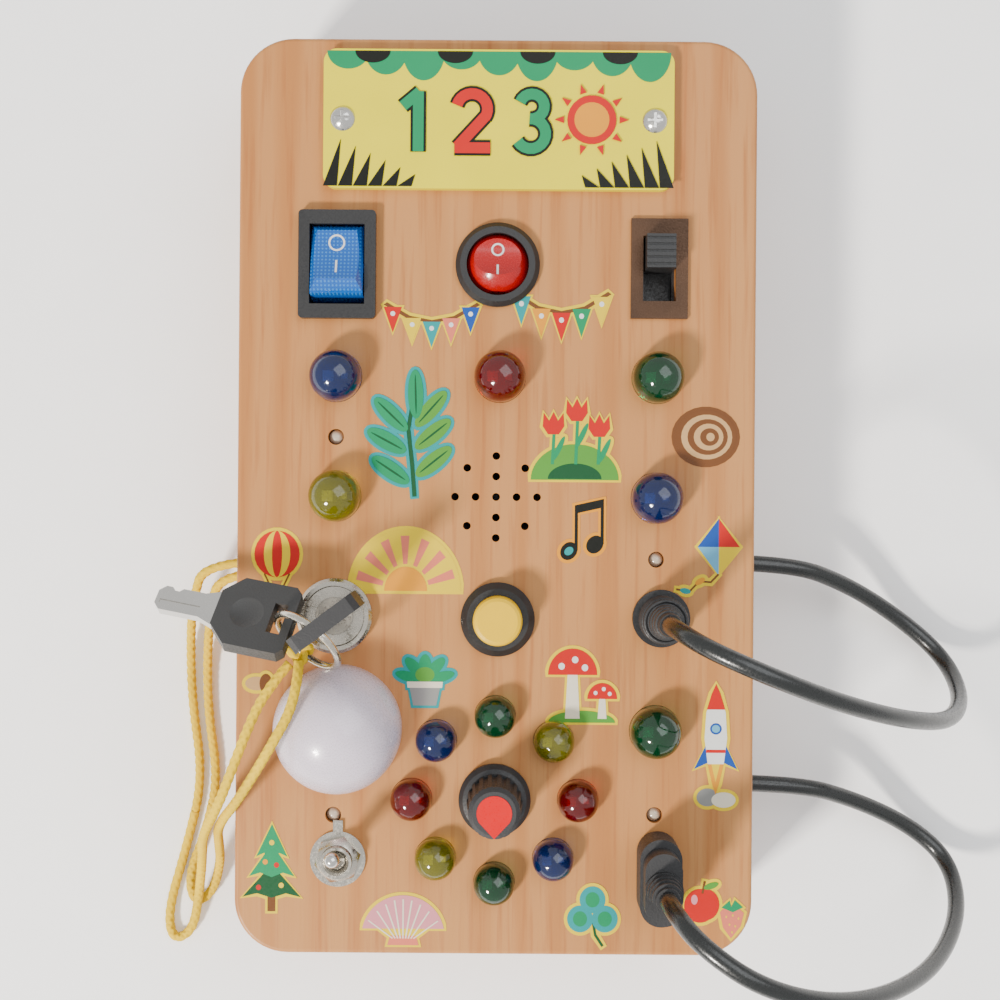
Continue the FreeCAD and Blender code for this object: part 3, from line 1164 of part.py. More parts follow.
outer_y = float(lanyard_y + lanyard_gap / 2)
inner_y = float(lanyard_y - lanyard_gap / 2)
outer_last = (-43.5, -37, 40)
inner_last = (-36.8, -38, 44.5)
outer_route = [(strand_end, outer_y, float(cord_height)), (-59.5, outer_y, float(cord_height)), (-63, -22, 8),
               (-64.5, -31, 2.2), (-64.2, -44, 1.3), (-61.8, -60, 1.3), (-65, -74, 1.3), (-69, -88, 1.3),
               (-68, -94.5, 1.3), (-63.6, -92.5, 1.5), (-61.8, -83, 4.2), (-59.7, -74, 13), (-57, -66.5, 29),
               (-52, -58.5, 39), (-47.8, -47.5, 41.5), outer_last, to_knot(outer_last)]
inner_route = [(strand_end, inner_y, float(cord_height)), (-56.5, inner_y, float(cord_height)), (-59.5, -24.5, 7),
               (-61, -34, 1.8), (-60.8, -46, 1.3), (-58.6, -60, 1.3), (-61, -71, 1.3), (-64.8, -81, 1.3),
               (-63.2, -86.8, 1.3), (-59.4, -84, 1.6), (-57.3, -77, 5), (-56, -71, 15), (-53.9, -64.5, 30),
               (-48.2, -57.5, 39.5), (-42, -47.5, 43.5), inner_last, to_knot(inner_last)]
corded("lanyard_outer_strand", outer_route, lanyard_radius)
corded("lanyard_inner_strand", inner_route, lanyard_radius)
knot = ball("knot_ball", knot_radius, knot_spot.x, knot_spot.y, knot_spot.z)
knot.Placement = FreeCAD.Placement(knot_spot, FreeCAD.Rotation(V(1, 0, 0), 90) * FreeCAD.Rotation(V(0, 0, 1), 50))
ring_way = doc.addObject("Part::Torus", "ring_way")
bind(ring_way, "Radius1", ring_radius)
bind(ring_way, "Radius2", ring_wire + SLACK)
ring_way.Placement = key_ring.Placement
named(cut("knot_cut", knot, ring_way), "lanyard_knot")

# Cord stops: sleeves on the cables and a knot on the strands, against the inside of the walls
stop_length = size("stop_length", 2.5)
stops = []
for side, y, radius in ((1, power_cord_y, cable_radius), (1, usb_cord_y, cable_radius),
                        (-1, lanyard_y + lanyard_gap / 2, lanyard_radius),
                        (-1, lanyard_y - lanyard_gap / 2, lanyard_radius)):
    sleeve_radius = radius + 1.1 if side > 0 else radius + 0.1
    start = inner_width / 2 - stop_length if side > 0 else -(inner_width / 2)
    sleeve = rod("sleeve", sleeve_radius, stop_length)
    sleeve_bore = rod("sleeve_bore", radius + FINE_SLACK, stop_length)
    stops.append(tilted("stop", [cut("sleeve_cut", sleeve, sleeve_bore)], V(0, 1, 0), as_size(90), start, y,
                        cord_height))
named(group("stop_group", stops), "cord_stops")


doc.recompute()
os.makedirs("parts", exist_ok=True)
problems = [item.Name for item in doc.Objects if "Invalid" in item.State or "Error" in item.State]
for item in kept:
    shape = item.Shape
    if shape.isNull() or not shape.isValid():
        problems.append(item.Label)
if problems:
    raise RuntimeError("failed: " + ", ".join(problems))
for item in kept:
    item.Shape.exportStep("parts/" + item.Label + ".step")
print(len(kept), "nodes")
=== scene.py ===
import math
import bpy
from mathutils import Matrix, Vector
from mathutils.bvhtree import BVHTree


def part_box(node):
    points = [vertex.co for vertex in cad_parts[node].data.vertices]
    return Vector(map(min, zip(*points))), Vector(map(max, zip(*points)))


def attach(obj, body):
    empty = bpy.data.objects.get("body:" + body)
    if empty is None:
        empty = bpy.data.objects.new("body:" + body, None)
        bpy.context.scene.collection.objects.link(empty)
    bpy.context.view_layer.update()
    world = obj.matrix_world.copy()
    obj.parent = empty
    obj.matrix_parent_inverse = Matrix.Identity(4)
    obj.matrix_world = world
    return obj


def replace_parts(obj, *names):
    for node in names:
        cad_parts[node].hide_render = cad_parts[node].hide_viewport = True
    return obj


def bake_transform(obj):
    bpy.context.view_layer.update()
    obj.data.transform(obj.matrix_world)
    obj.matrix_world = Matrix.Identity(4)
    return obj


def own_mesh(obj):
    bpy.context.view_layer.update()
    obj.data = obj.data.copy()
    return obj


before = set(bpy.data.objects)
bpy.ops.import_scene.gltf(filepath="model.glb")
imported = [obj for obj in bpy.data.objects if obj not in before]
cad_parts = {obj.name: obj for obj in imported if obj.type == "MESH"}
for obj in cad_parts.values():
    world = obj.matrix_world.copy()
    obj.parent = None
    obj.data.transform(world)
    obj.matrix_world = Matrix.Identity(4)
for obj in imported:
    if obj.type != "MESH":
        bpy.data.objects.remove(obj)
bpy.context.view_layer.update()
MM = 0.001
FACE = 30.0  # height of the wooden face, mm
POWER = (32.3, -23.4)  # middles of the power plug, USB plug and knob on the face, mm
USB = (31.9, -73.1)
KNOB = (0.16, -58.9)

# Camera: straight above the board, turned a little so that the board leans clockwise in the view.
camera_data = bpy.data.cameras.new("camera")
camera_data.lens = 60
camera_data.sensor_width = 36
camera = bpy.data.objects.new("camera", camera_data)
camera.location = (0.00078, -0.00058, 0.355)
camera.rotation_euler = (0, 0, math.radians(0.43))
bpy.context.scene.collection.objects.link(camera)
bpy.context.scene.camera = camera


def linear(colour, level=0.66):
    """sRGB 0 to 255 to the linear values that shader sockets take, lowered to suit the bright lamps."""
    return tuple(pow(c / 255, 2.2) * level for c in colour) + (1.0,)


# Cords: both cables and the lanyard's two strands are tubes along a smooth line. The cables leave the
# right wall, rest on the floor and rise into their plugs. The strands leave the left wall, rest on the
# floor, turn back and rise to a knot on the key ring.
def smooth_path(points, fine):
    """Points read, in mm, from the NURBS spline with these control points."""
    curve = bpy.data.curves.new("route", "CURVE")
    curve.dimensions = "3D"
    curve.resolution_u = fine
    spline = curve.splines.new("NURBS")
    spline.points.add(len(points) - 1)
    for control, point in zip(spline.points, points):
        control.co = (*point, 1)
    spline.order_u = 3
    spline.use_endpoint_u = True
    holder = bpy.data.objects.new("route", curve)
    bpy.context.scene.collection.objects.link(holder)
    bpy.context.view_layer.update()
    line = bpy.data.meshes.new_from_object(holder)
    path = [v.co.copy() for v in line.vertices]
    bpy.data.objects.remove(holder)
    bpy.data.meshes.remove(line)
    return path


def path_length(path):
    """The length along a path, in its own units."""
    return sum((b - a).length for a, b in zip(path, path[1:]))


def tube(name, path, radius, sides=24, weave=0.0, closed=False):
    """A mesh tube along a path in mm, with crossing raised yarns if it is woven."""
    count = len(path)
    side = Vector((0, 0, 1))
    verts = []
    run = 0.0
    for i, spot in enumerate(path):
        before = path[i - 1] if i or closed else spot
        after = path[(i + 1) % count] if i + 1 < count or closed else spot
        ahead = (after - before).normalized()
        if i == 0:
            side = ahead.orthogonal().normalized()
        side = (side - ahead * side.dot(ahead)).normalized()
        across = ahead.cross(side)
        run += (spot - path[i - 1]).length if i else 0
        for j in range(sides):
            turn = 2 * math.pi * j / sides
            right = math.cos(4 * turn + run * 3.6)
            left = math.cos(4 * turn - run * 3.6)
            swell = radius * (1 - weave + weave * max(right, left))
            verts.append((spot + side * (math.cos(turn) * swell) + across * (math.sin(turn) * swell)) * MM)
    faces = []
    for i in range(count if closed else count - 1):
        a = i * sides
        b = ((i + 1) % count) * sides
        for j in range(sides):
            k = (j + 1) % sides
            faces.append((a + j, a + k, b + k, b + j))
    if not closed:
        faces.append(tuple(range(sides - 1, -1, -1)))
        faces.append(tuple(range((count - 1) * sides, count * sides)))
    return mesh_piece(name, verts, faces, smooth=True)


def mesh_piece(name, verts, faces, smooth=False):
    """A named mesh from corners in metres."""
    mesh = bpy.data.meshes.new(name)
    mesh.from_pydata([tuple(v) for v in verts], [], faces)
    mesh.validate()
    if smooth:
        mesh.shade_smooth()
    piece = bpy.data.objects.new(name, mesh)
    bpy.context.scene.collection.objects.link(piece)
    return piece


def fine_noise(nodes, links, vector, scale, detail=3.0):
    """A noise value of this scale over these coordinates."""
    texture = nodes.new("ShaderNodeTexNoise")
    texture.inputs["Scale"].default_value = scale
    texture.inputs["Detail"].default_value = detail
    links.new(vector, texture.inputs["Vector"])
    return texture.outputs["Fac"]


def blended(nodes, links, factor, low, high):
    """A colour mix of two sockets or plain colours."""
    mix = nodes.new("ShaderNodeMix")
    mix.data_type = "RGBA"
    links.new(factor, mix.inputs["Factor"])
    for socket, value in ((mix.inputs[6], low), (mix.inputs[7], high)):
        if isinstance(value, tuple):
            socket.default_value = value
        else:
            links.new(value, socket)
    return mix.outputs[2]


def ranged(nodes, links, value, low, high, to_low, to_high):
    """A value moved from one range to another and held inside it."""
    node = nodes.new("ShaderNodeMapRange")
    links.new(value, node.inputs["Value"])
    for name, number in zip(("From Min", "From Max", "To Min", "To Max"), (low, high, to_low, to_high)):
        node.inputs[name].default_value = number
    return node.outputs["Result"]


def group_with(name, wanted):
    """A node group with these input sockets and a colour, roughness and normal out of it."""
    group = bpy.data.node_groups.new(name, "ShaderNodeTree")
    for label, kind, value in wanted:
        socket = group.interface.new_socket(label, in_out="INPUT", socket_type=kind)
        socket.default_value = value
    for label, kind in (("Color", "NodeSocketColor"), ("Roughness", "NodeSocketFloat"),
                        ("Normal", "NodeSocketVector")):
        group.interface.new_socket(label, in_out="OUTPUT", socket_type=kind)
    return group, group.nodes.new("NodeGroupInput").outputs, group.nodes.new("NodeGroupOutput").inputs


# Everyday wear: uneven colour and shine, and a fine grain, used by every plain finish.
wear, given, result = group_with("everyday_wear", [("Color", "NodeSocketColor", (0.5, 0.5, 0.5, 1)),
                                                   ("Mottle", "NodeSocketFloat", 0.1),
                                                   ("Roughness", "NodeSocketFloat", 0.4),
                                                   ("Grain", "NodeSocketFloat", 0.1)])
nodes, links = wear.nodes, wear.links
where = nodes.new("ShaderNodeTexCoord").outputs["Object"]
cloud = fine_noise(nodes, links, where, 90)
speck = fine_noise(nodes, links, where, 2600, 2)
shade = nodes.new("ShaderNodeHueSaturation")
drift = nodes.new("ShaderNodeMath")
drift.operation = "MULTIPLY"
links.new(ranged(nodes, links, cloud, 0.3, 0.7, -1, 1), drift.inputs[0])
links.new(given["Mottle"], drift.inputs[1])
level = nodes.new("ShaderNodeMath")
level.operation = "ADD"
level.inputs[1].default_value = 1
links.new(drift.outputs[0], level.inputs[0])
links.new(level.outputs[0], shade.inputs["Value"])
links.new(given["Color"], shade.inputs["Color"])
links.new(shade.outputs["Color"], result["Color"])
rub = nodes.new("ShaderNodeMath")
rub.operation = "MULTIPLY_ADD"
links.new(ranged(nodes, links, speck, 0.3, 0.7, -0.12, 0.12), rub.inputs[0])
rub.inputs[1].default_value = 1
links.new(given["Roughness"], rub.inputs[2])
links.new(rub.outputs[0], result["Roughness"])
bump = nodes.new("ShaderNodeBump")
bump.inputs["Distance"].default_value = 0.0001
links.new(given["Grain"], bump.inputs["Strength"])
links.new(speck, bump.inputs["Height"])
links.new(bump.outputs["Normal"], result["Normal"])


def finish(name, colour, rough, metal=0.0, mottle=0.08, grain=0.1, coat=0.0, group=wear, shine=0.5):
    """A material of plain values fed through the everyday wear."""
    material = bpy.data.materials.new(name)
    material.use_nodes = True
    nodes, links = material.node_tree.nodes, material.node_tree.links
    surface = nodes["Principled BSDF"]
    surface.inputs["Metallic"].default_value = metal
    surface.inputs["Coat Weight"].default_value = coat
    surface.inputs["Coat Roughness"].default_value = 0.08
    surface.inputs["Specular IOR Level"].default_value = shine
    worn = nodes.new("ShaderNodeGroup")
    worn.node_tree = group
    worn.inputs["Color"].default_value = linear(colour)
    worn.inputs["Roughness"].default_value = rough
    if "Mottle" in worn.inputs:
        worn.inputs["Mottle"].default_value = mottle
    worn.inputs["Grain"].default_value = grain
    links.new(worn.outputs["Color"], surface.inputs["Base Color"])
    links.new(worn.outputs["Roughness"], surface.inputs["Roughness"])
    links.new(worn.outputs["Normal"], surface.inputs["Normal"])
    return material


def dress(material, *names):
    """Gives a material to CAD nodes or pieces."""
    for name in names:
        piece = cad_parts.get(name) if isinstance(name, str) else name
        piece.data.materials.clear()
        piece.data.materials.append(material)


cable_jacket = finish("cable_jacket", (30, 33, 33), 0.3, grain=0.2, coat=0.15)
braid = finish("braided_yellow", (255, 212, 40), 0.75, mottle=0.12, grain=0.6, shine=0.2)
cable_radius = 1.7
strand_radius = 1.0


def run_cord(name, points, radius, body_pairs, material, weave=0.0, sides=20, fine=16):
    """Builds a cord in as many tubes as the joints that it crosses."""
    path = smooth_path(points, fine)
    share = len(path) // len(body_pairs)
    for k, (low, high) in enumerate(body_pairs):
        last = k + 1 == len(body_pairs)
        part = path[k * share:len(path) if last else (k + 1) * share + 1]
        piece = tube(name if len(body_pairs) == 1 else name + "_" + "abc"[k], part, radius, sides, weave)
        dress(material, piece)
        line = [tuple(p * MM) for p in part]
        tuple(line[0])
        path_length(part) * MM
        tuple(line[0])
        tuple(line[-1])
        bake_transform(piece)
        yield piece


dc_route = [(43.5, -13, 14), (60, -13, 14), (73, -17.5, 8), (85.5, -25, 3.2), (94.5, -33, 4),
            (95.5, -40, 14.5),
            (89, -43, 31), (77, -41, 46), (62, -36.5, 58), (48, -31, 64.5), (37.5, -26.5, 62.5),
            (*POWER, 56.2), (*POWER, 48.7)]
usb_route = [(43.5, -58, 14), (61.5, -58, 14), (75.5, -62.5, 7.5), (88.5, -69, 2.8), (96, -76, 4.2),
             (95, -84, 15.5), (86.5, -90, 31.5), (74, -91.5, 47), (60, -89.5, 60), (46.5, -84.5, 67.5),
             (36.5, -78, 66), (*USB, 60.2), (*USB, 52.7)]
for piece in run_cord("dc_cable", dc_route, cable_radius, [("case", "dc_plug")], cable_jacket):
    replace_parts(piece, "dc_cord")
for piece in run_cord("usb_cable", usb_route, cable_radius, [("case", "usb_plug")], cable_jacket):
    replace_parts(piece, "usb_cord")

# Knot: three loops of the same cord drawn tight round the ring, the end of both strands
knot_spot = Vector((-37.05, -29.76, 37.99))
loops = []
for i in range(240):
    turn = 2 * math.pi * i / 240
    loops.append(knot_spot + Vector(((math.sin(turn) + 2 * math.sin(2 * turn)) * 0.62,
                                     (math.cos(turn) - 2 * math.cos(2 * turn)) * 0.62,
                                     -math.sin(3 * turn) * 0.85)))
knot = tube("knot", loops, 0.95, 20, 0.1, closed=True)
dress(braid, knot)
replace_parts(knot, "lanyard_knot")
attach(knot, "ring")

outer_route = [(-43.5, -13.35, 14), (-59.5, -13.35, 14), (-63, -22, 8), (-64.5, -31, 2.2),
               (-64.2, -44, 1.3),
               (-61.8, -60, 1.3), (-65, -74, 1.3), (-69, -88, 1.3), (-68, -94.5, 1.3), (-63.6, -92.5, 1.5),
               (-61.8, -83, 4.2), (-59.7, -74, 13), (-57, -66.5, 29), (-52, -58.5, 39),
               (-47.8, -47.5, 41.5),
               (-43.5, -37, 40), (-38.9, -31.9, 38.6)]
inner_route = [(-43.5, -15.65, 14), (-56.5, -15.65, 14), (-59.5, -24.5, 7), (-61, -34, 1.8),
               (-60.8, -46, 1.3),
               (-58.6, -60, 1.3), (-61, -71, 1.3), (-64.8, -81, 1.3), (-63.2, -86.8, 1.3),
               (-59.4, -84, 1.6),
               (-57.3, -77, 5), (-56, -71, 15), (-53.9, -64.5, 30), (-48.2, -57.5, 39.5),
               (-42, -47.5, 43.5),
               (-36.8, -38, 44.5), (-37, -31.3, 40)]
strand_joints = [("case", "core"), ("core", "key"), ("key", "ring")]
for label, route in (("outer", outer_route), ("inner", inner_route)):
    for piece in run_cord("lanyard_" + label, route, strand_radius, strand_joints, braid,
                          weave=0.16, fine=34):
        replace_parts(piece, "lanyard_%s_strand" % label)

# Wooden box: face panel, side frame and back cover in lacquered pine, with the grain along the board
pine, given, result = group_with("pine_grain", [("Color", "NodeSocketColor", (0.7, 0.4, 0.2, 1)),
                                                ("Roughness", "NodeSocketFloat", 0.42),
                                                ("Grain", "NodeSocketFloat", 0.2)])
nodes, links = pine.nodes, pine.links
where = nodes.new("ShaderNodeTexCoord").outputs["Object"]
stretch = nodes.new("ShaderNodeMapping")
stretch.inputs["Scale"].default_value = (1, 0.045, 1)
links.new(where, stretch.inputs["Vector"])
rings = nodes.new("ShaderNodeTexWave")
for label, number in (("Scale", 34), ("Distortion", 9), ("Detail", 2.5), ("Detail Scale", 1.2)):
    rings.inputs[label].default_value = number
links.new(stretch.outputs["Vector"], rings.inputs["Vector"])
fibre = fine_noise(nodes, links, stretch.outputs["Vector"], 900, 4)
patch = fine_noise(nodes, links, stretch.outputs["Vector"], 60, 2)
band = blended(nodes, links, ranged(nodes, links, rings.outputs["Fac"], 0.35, 0.95, 0, 0.55),
               given["Color"], linear((190, 118, 58)))
wide = blended(nodes, links, ranged(nodes, links, patch, 0.4, 0.75, 0, 0.45), band, linear((220, 160, 98)))
thin = blended(nodes, links, ranged(nodes, links, fibre, 0.52, 0.75, 0, 0.5), wide, linear((172, 96, 42)))
links.new(thin, result["Color"])
links.new(ranged(nodes, links, fibre, 0.3, 0.7, 0.36, 0.5), result["Roughness"])
bump = nodes.new("ShaderNodeBump")
bump.inputs["Distance"].default_value = 0.0002
links.new(given["Grain"], bump.inputs["Strength"])
links.new(fibre, bump.inputs["Height"])
links.new(bump.outputs["Normal"], result["Normal"])
dress(finish("pine_face", (209, 144, 84), 0.5, grain=0.25, group=pine, shine=0.3), "front_panel")
dress(finish("pine_sides", (202, 140, 82), 0.5, grain=0.3, coat=0.05, group=pine), "side_frame",
      "back_cover")

# Plain finishes of the switches, sockets, screws and inner pieces
black = finish("black_plastic", (42, 42, 43), 0.42, grain=0.35)
soft_black = finish("soft_black", (48, 48, 50), 0.55, grain=0.5)
nickel = finish("nickel", (235, 228, 214), 0.24, metal=1.0, mottle=0.05, grain=0.02)
bright = finish("bright_steel", (245, 242, 236), 0.18, metal=1.0, mottle=0.04, grain=0.02)
zinc = finish("zinc", (190, 190, 186), 0.34, metal=1.0, mottle=0.15, grain=0.25)
dress(black, "rocker_housing", "round_rocker_housing", "slide_switch_knob", "slide_switch_body",
      "dc_socket",
      "button_body", "usb_socket_tongue", "rotary_body", "battery_box", "battery_door", "speaker",
      "cord_stops")
dress(soft_black, "knob_body", "key_head", "dc_plug_grip", "usb_plug_grip")
dress(finish("grey_grip", (62, 62, 62), 0.5, grain=0.4), "spare_key_head")
dress(nickel, "lock_body", "key_ring", "toggle_body", "toggle_nut", "toggle_washer", "back_nuts",
      "rotary_shaft",
      "dc_plug_barrel", "usb_plug_shell", "usb_socket_shell", "button_spring")
dress(finish("worn_lock_face", (214, 206, 192), 0.34, metal=1.0, mottle=0.1, grain=0.06), "lock_core")
dress(bright, "toggle_lever", "key_blade", "spare_key_blade", "plate_screws")
dress(zinc, "back_screws", "door_screw", "battery_contacts", "solder_lugs")
dress(finish("cell_wrap", (52, 58, 64), 0.35, coat=0.3), "battery_cells")
dress(finish("slide_plate", (96, 72, 56), 0.5, metal=0.7, mottle=0.25, grain=0.8), "slide_switch_plate")
dress(finish("push_cap", (255, 205, 6), 0.4, mottle=0.05, shine=0.25), "button_cap")
dress(finish("pointer_red", (216, 20, 30), 0.35, mottle=0.05), "knob_pointer")
dress(finish("board_green", (24, 96, 58), 0.4, mottle=0.1, coat=0.3), "circuit_board")
dress(finish("sticker_film", (244, 236, 216), 0.4, mottle=0.03, coat=0.2), "stickers")
dress(finish("plate_yellow", (255, 238, 12), 0.36, mottle=0.03, shine=0.2), "name_plate")


# Lamps, dome and rockers: tinted resin that lets light through and throws a tinted shadow. Each lamp
# has its lead frame inside, a post and a small cup.
def resin(name, colour, rough=0.08, through=0.8, glow=0.5):
    """Tinted resin with a tinted shadow."""
    material = finish(name, colour, rough, mottle=0.04, grain=0.02, coat=0.3)
    nodes, links = material.node_tree.nodes, material.node_tree.links
    surface = nodes["Principled BSDF"]
    surface.inputs["Transmission Weight"].default_value = through
    surface.inputs["IOR"].default_value = 1.48
    clear = nodes.new("ShaderNodeBsdfTransparent")
    clear.inputs["Color"].default_value = linear(tuple(c * glow + 255 * (1 - glow) * 0.5 for c in colour))
    rays = nodes.new("ShaderNodeLightPath")
    mix = nodes.new("ShaderNodeMixShader")
    links.new(rays.outputs["Is Shadow Ray"], mix.inputs[0])
    links.new(surface.outputs[0], mix.inputs[1])
    links.new(clear.outputs[0], mix.inputs[2])
    links.new(mix.outputs[0], nodes["Material Output"].inputs["Surface"])
    return material


dress(resin("resin_blue", (34, 66, 150)), "blue_leds")
dress(resin("resin_green", (6, 112, 62)), "green_leds")
dress(resin("resin_red", (178, 10, 10)), "red_leds")
dress(resin("resin_yellow", (196, 190, 36)), "yellow_leds")
dress(resin("resin_clear", (236, 214, 190), 0.12, through=0.25), "clear_leds")
dress(resin("milky_dome", (250, 238, 252), 0.3, through=0.2, glow=0.9), "dome_cover")
dress(resin("rocker_red", (205, 12, 14), 0.25, through=0.25), "round_rocker_button")


def solid_of(name, cells, material):
    """One mesh of separate upright prisms: each is (x, y, low, high, radius low, radius high, sides)."""
    verts, faces = [], []
    for x, y, low, high, wide, top, sides in cells:
        start = len(verts)
        for z, radius in ((low, wide), (high, top)):
            for i in range(sides):
                turn = 2 * math.pi * (i + 0.5) / sides
                verts.append(Vector((x + radius * math.cos(turn), y + radius * math.sin(turn), z)) * MM)
        for i in range(sides):
            k = (i + 1) % sides
            faces.append((start + i, start + k, start + sides + k, start + sides + i))
        faces.append(tuple(start + i for i in range(sides - 1, -1, -1)))
        faces.append(tuple(start + sides + i for i in range(sides)))
    piece = mesh_piece(name, verts, faces)
    dress(material, piece)
    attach(piece, "case")


lamp_frames = []
big_spots = [(-31.3, 23.3), (0.6, 23.4), (31.3, 23.4), (-31.3, 0), (31.3, 0), (31.3, -45.4)]
lamp_circle = 16.2
ring_spots = [(KNOB[0] + lamp_circle * math.cos(math.radians(90 - 45 * i)),
               KNOB[1] + lamp_circle * math.sin(math.radians(90 - 45 * i))) for i in range(8)]
for x, y in big_spots + ring_spots:
    lamp_frames.append((x - 0.9, y, FACE, FACE + 2.2, 0.5, 0.9, 4))
    lamp_frames.append((x + 1.0, y, FACE, FACE + 1.7, 0.5, 0.5, 4))
solid_of("lamp_frames", lamp_frames, zinc)


# Printed designs: stickers on the face and the picture on the yellow plate. Every shape is a thin prism
# of one ink, laid a little higher than the one before it.
INKS = {"yellow": (250, 214, 40), "amber": (244, 160, 40), "red": (214, 40, 34), "salmon": (240, 128, 104),
        "pink": (236, 150, 160), "leaf": (92, 160, 62), "green": (20, 150, 96), "dark": (34, 88, 54),
        "teal": (40, 158, 160), "sky": (112, 186, 222), "blue": (40, 84, 170), "brown": (120, 76, 44),
        "tan": (214, 170, 116), "cream": (248, 238, 214), "grey": (150, 150, 146), "black": (32, 33, 28),
        "white": (246, 246, 242)}
inks = {label: finish("ink_" + label, colour, 0.4, mottle=0.04, grain=0.05, shine=0.2)
        for label, colour in INKS.items()}


def oval(x, y, wide, tall, turn=0.0, start=0.0, sweep=360.0, count=26):
    """The outline of an oval, or of a share of one, turned by some degrees."""
    points = []
    lean = math.radians(turn)
    for i in range(count + (sweep < 360)):
        angle = math.radians(start + sweep * i / count)
        a, b = wide * math.cos(angle), tall * math.sin(angle)
        points.append((x + a * math.cos(lean) - b * math.sin(lean),
                       y + a * math.sin(lean) + b * math.cos(lean)))
    return points


def ribbon(points, wide):
    """The outline of a band of even width along these points."""
    spots = [Vector(p) for p in points]
    near, far = [], []
    for i, spot in enumerate(spots):
        ahead = (spots[min(i + 1, len(spots) - 1)] - spots[max(i - 1, 0)]).normalized()
        side = Vector((-ahead.y, ahead.x)) * wide / 2
        near.append(tuple(spot + side))
        far.append(tuple(spot - side))
    return near + far[::-1]


def grown(outline, wide, tall, margin):
    """The outline moved outwards by a margin in mm."""
    spots = [Vector((u * wide / 2, v * tall / 2)) for u, v in outline]
    turn = sum(a.x * b.y - b.x * a.y for a, b in zip(spots, spots[1:] + spots[:1]))
    out = []
    for i, spot in enumerate(spots):
        before = (spot - spots[i - 1]).normalized()
        after = (spots[(i + 1) % len(spots)] - spot).normalized()
        away = Vector((before.y + after.y, -before.x - after.x))
        outward = margin if turn > 0 else -margin
        away = away.normalized() * outward if away.length > 0.3 else before * margin
        out.append(((spot.x + away.x) * 2 / wide, (spot.y + away.y) * 2 / tall))
    return out


def artwork(name, x, y, wide, tall, base, shapes, border=None):
    """Shapes are (ink, outline), with outlines in half widths and half heights of the design."""
    verts, faces, slots, used = [], [], [], []
    if border:
        shapes = [(border, grown(outline, wide, tall, 0.65)) for ink, outline in shapes] + shapes
    for level, (ink, outline) in enumerate(shapes):
        if ink not in used:
            used.append(ink)
        area = sum(a[0] * b[1] - b[0] * a[1] for a, b in zip(outline, outline[1:] + outline[:1]))
        ring = outline if area > 0 else outline[::-1]
        start, count = len(verts), len(ring)
        for z in (base, base + 0.06 + 0.006 * level):
            verts += [Vector((x + u * wide / 2, y + v * tall / 2, z)) * MM for u, v in ring]
        for i in range(count):
            k = (i + 1) % count
            faces.append((start + i, start + k, start + count + k, start + count + i))
        faces.append(tuple(range(start + count, start + 2 * count)))
        slots += [used.index(ink)] * (count + 1)
    piece = mesh_piece(name, verts, faces)
    for ink in used:
        piece.data.materials.append(inks[ink])
    for face, slot in zip(piece.data.polygons, slots):
        face.material_index = slot
    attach(piece, "case")
    return piece


def bunting(colours):
    """A sagging string with five flags."""
    string = [(-1, 0.8), (-0.5, 0.35), (0, 0.2), (0.5, 0.35), (1, 0.8)]
    shapes = [("brown", ribbon([(u * 0.98, v) for u, v in string], 0.1))]
    for i, ink in enumerate(colours):
        u = -0.82 + i * 0.41
        v = 0.2 + 0.72 * u * u
        shapes.append((ink, [(u - 0.19, v), (u + 0.19, v), (u, v - 0.85)]))
        shapes.append(("white", oval(u, v - 0.22, 0.05, 0.08)))
    return shapes


sprig = [("dark", ribbon([(0.05, -0.95), (0, -0.4), (-0.08, 0.2), (0.05, 0.9)], 0.08))]
for i, (u, v, turn) in enumerate([(-0.42, -0.5, 150), (0.42, -0.35, 35), (-0.5, 0, 155), (0.4, 0.12, 35),
                                  (-0.42, 0.45, 140), (0.36, 0.55, 45), (0.06, 0.8, 92)]):
    sprig.append(("leaf" if i % 2 else "green", oval(u, v, 0.42, 0.15, turn)))
    sprig.append(("dark", oval(u, v, 0.34, 0.018, turn)))
tulips = [("leaf", oval(0, -0.95, 0.98, 0.8, start=0, sweep=180)),
          ("dark", oval(0, -0.93, 0.6, 0.35, start=0, sweep=180))]
for u, v in ((-0.5, 0.25), (0.02, 0.55), (0.52, 0.2)):
    tulips.append(("green", ribbon([(u, -0.6), (u + 0.04, v)], 0.07)))
    tulips.append(("green", oval(u + 0.14, v - 0.5, 0.06, 0.3, -25)))
    tulips.append(("red", [(u - 0.2, v + 0.3), (u - 0.22, v), (u - 0.1, v - 0.18), (u + 0.14, v - 0.18),
                           (u + 0.26, v),
                           (u + 0.24, v + 0.3), (u + 0.12, v + 0.12), (u + 0.02, v + 0.32),
                           (u - 0.08, v + 0.12)]))
slice_rings = [(("brown", "tan")[i % 2], oval(0.03 * i, 0, 0.98 - 0.17 * i,
                                              0.95 - 0.16 * i)) for i in range(6)]
rays = [("yellow", oval(0, -0.9, 0.98, 1.8, start=0, sweep=180))]
for i in range(7):
    a, b = math.radians(14 + i * 24), math.radians(24 + i * 24)
    rays.append(("salmon", [(0.42 * math.cos(a), -0.9 + 0.8 * math.sin(a)),
                            (0.9 * math.cos(a), -0.9 + 1.62 * math.sin(a)),
                            (0.9 * math.cos(b), -0.9 + 1.62 * math.sin(b)),
                            (0.42 * math.cos(b), -0.9 + 0.8 * math.sin(b))]))
rays.append(("amber", oval(0, -0.88, 0.38, 0.7, start=0, sweep=180)))
notes = [("black", oval(-0.5, -0.62, 0.34, 0.26, 20)), ("black", oval(0.5, -0.42, 0.34, 0.26, 20)),
         ("black", ribbon([(-0.22, -0.6), (-0.22, 0.7)], 0.12)),
         ("black", ribbon([(0.78, -0.4), (0.78, 0.9)], 0.12)),
         ("black", [(-0.28, 0.5), (0.84, 0.7), (0.84, 0.95), (-0.28, 0.75)]),
         ("teal", oval(-0.5, -0.62, 0.18, 0.12, 20))]
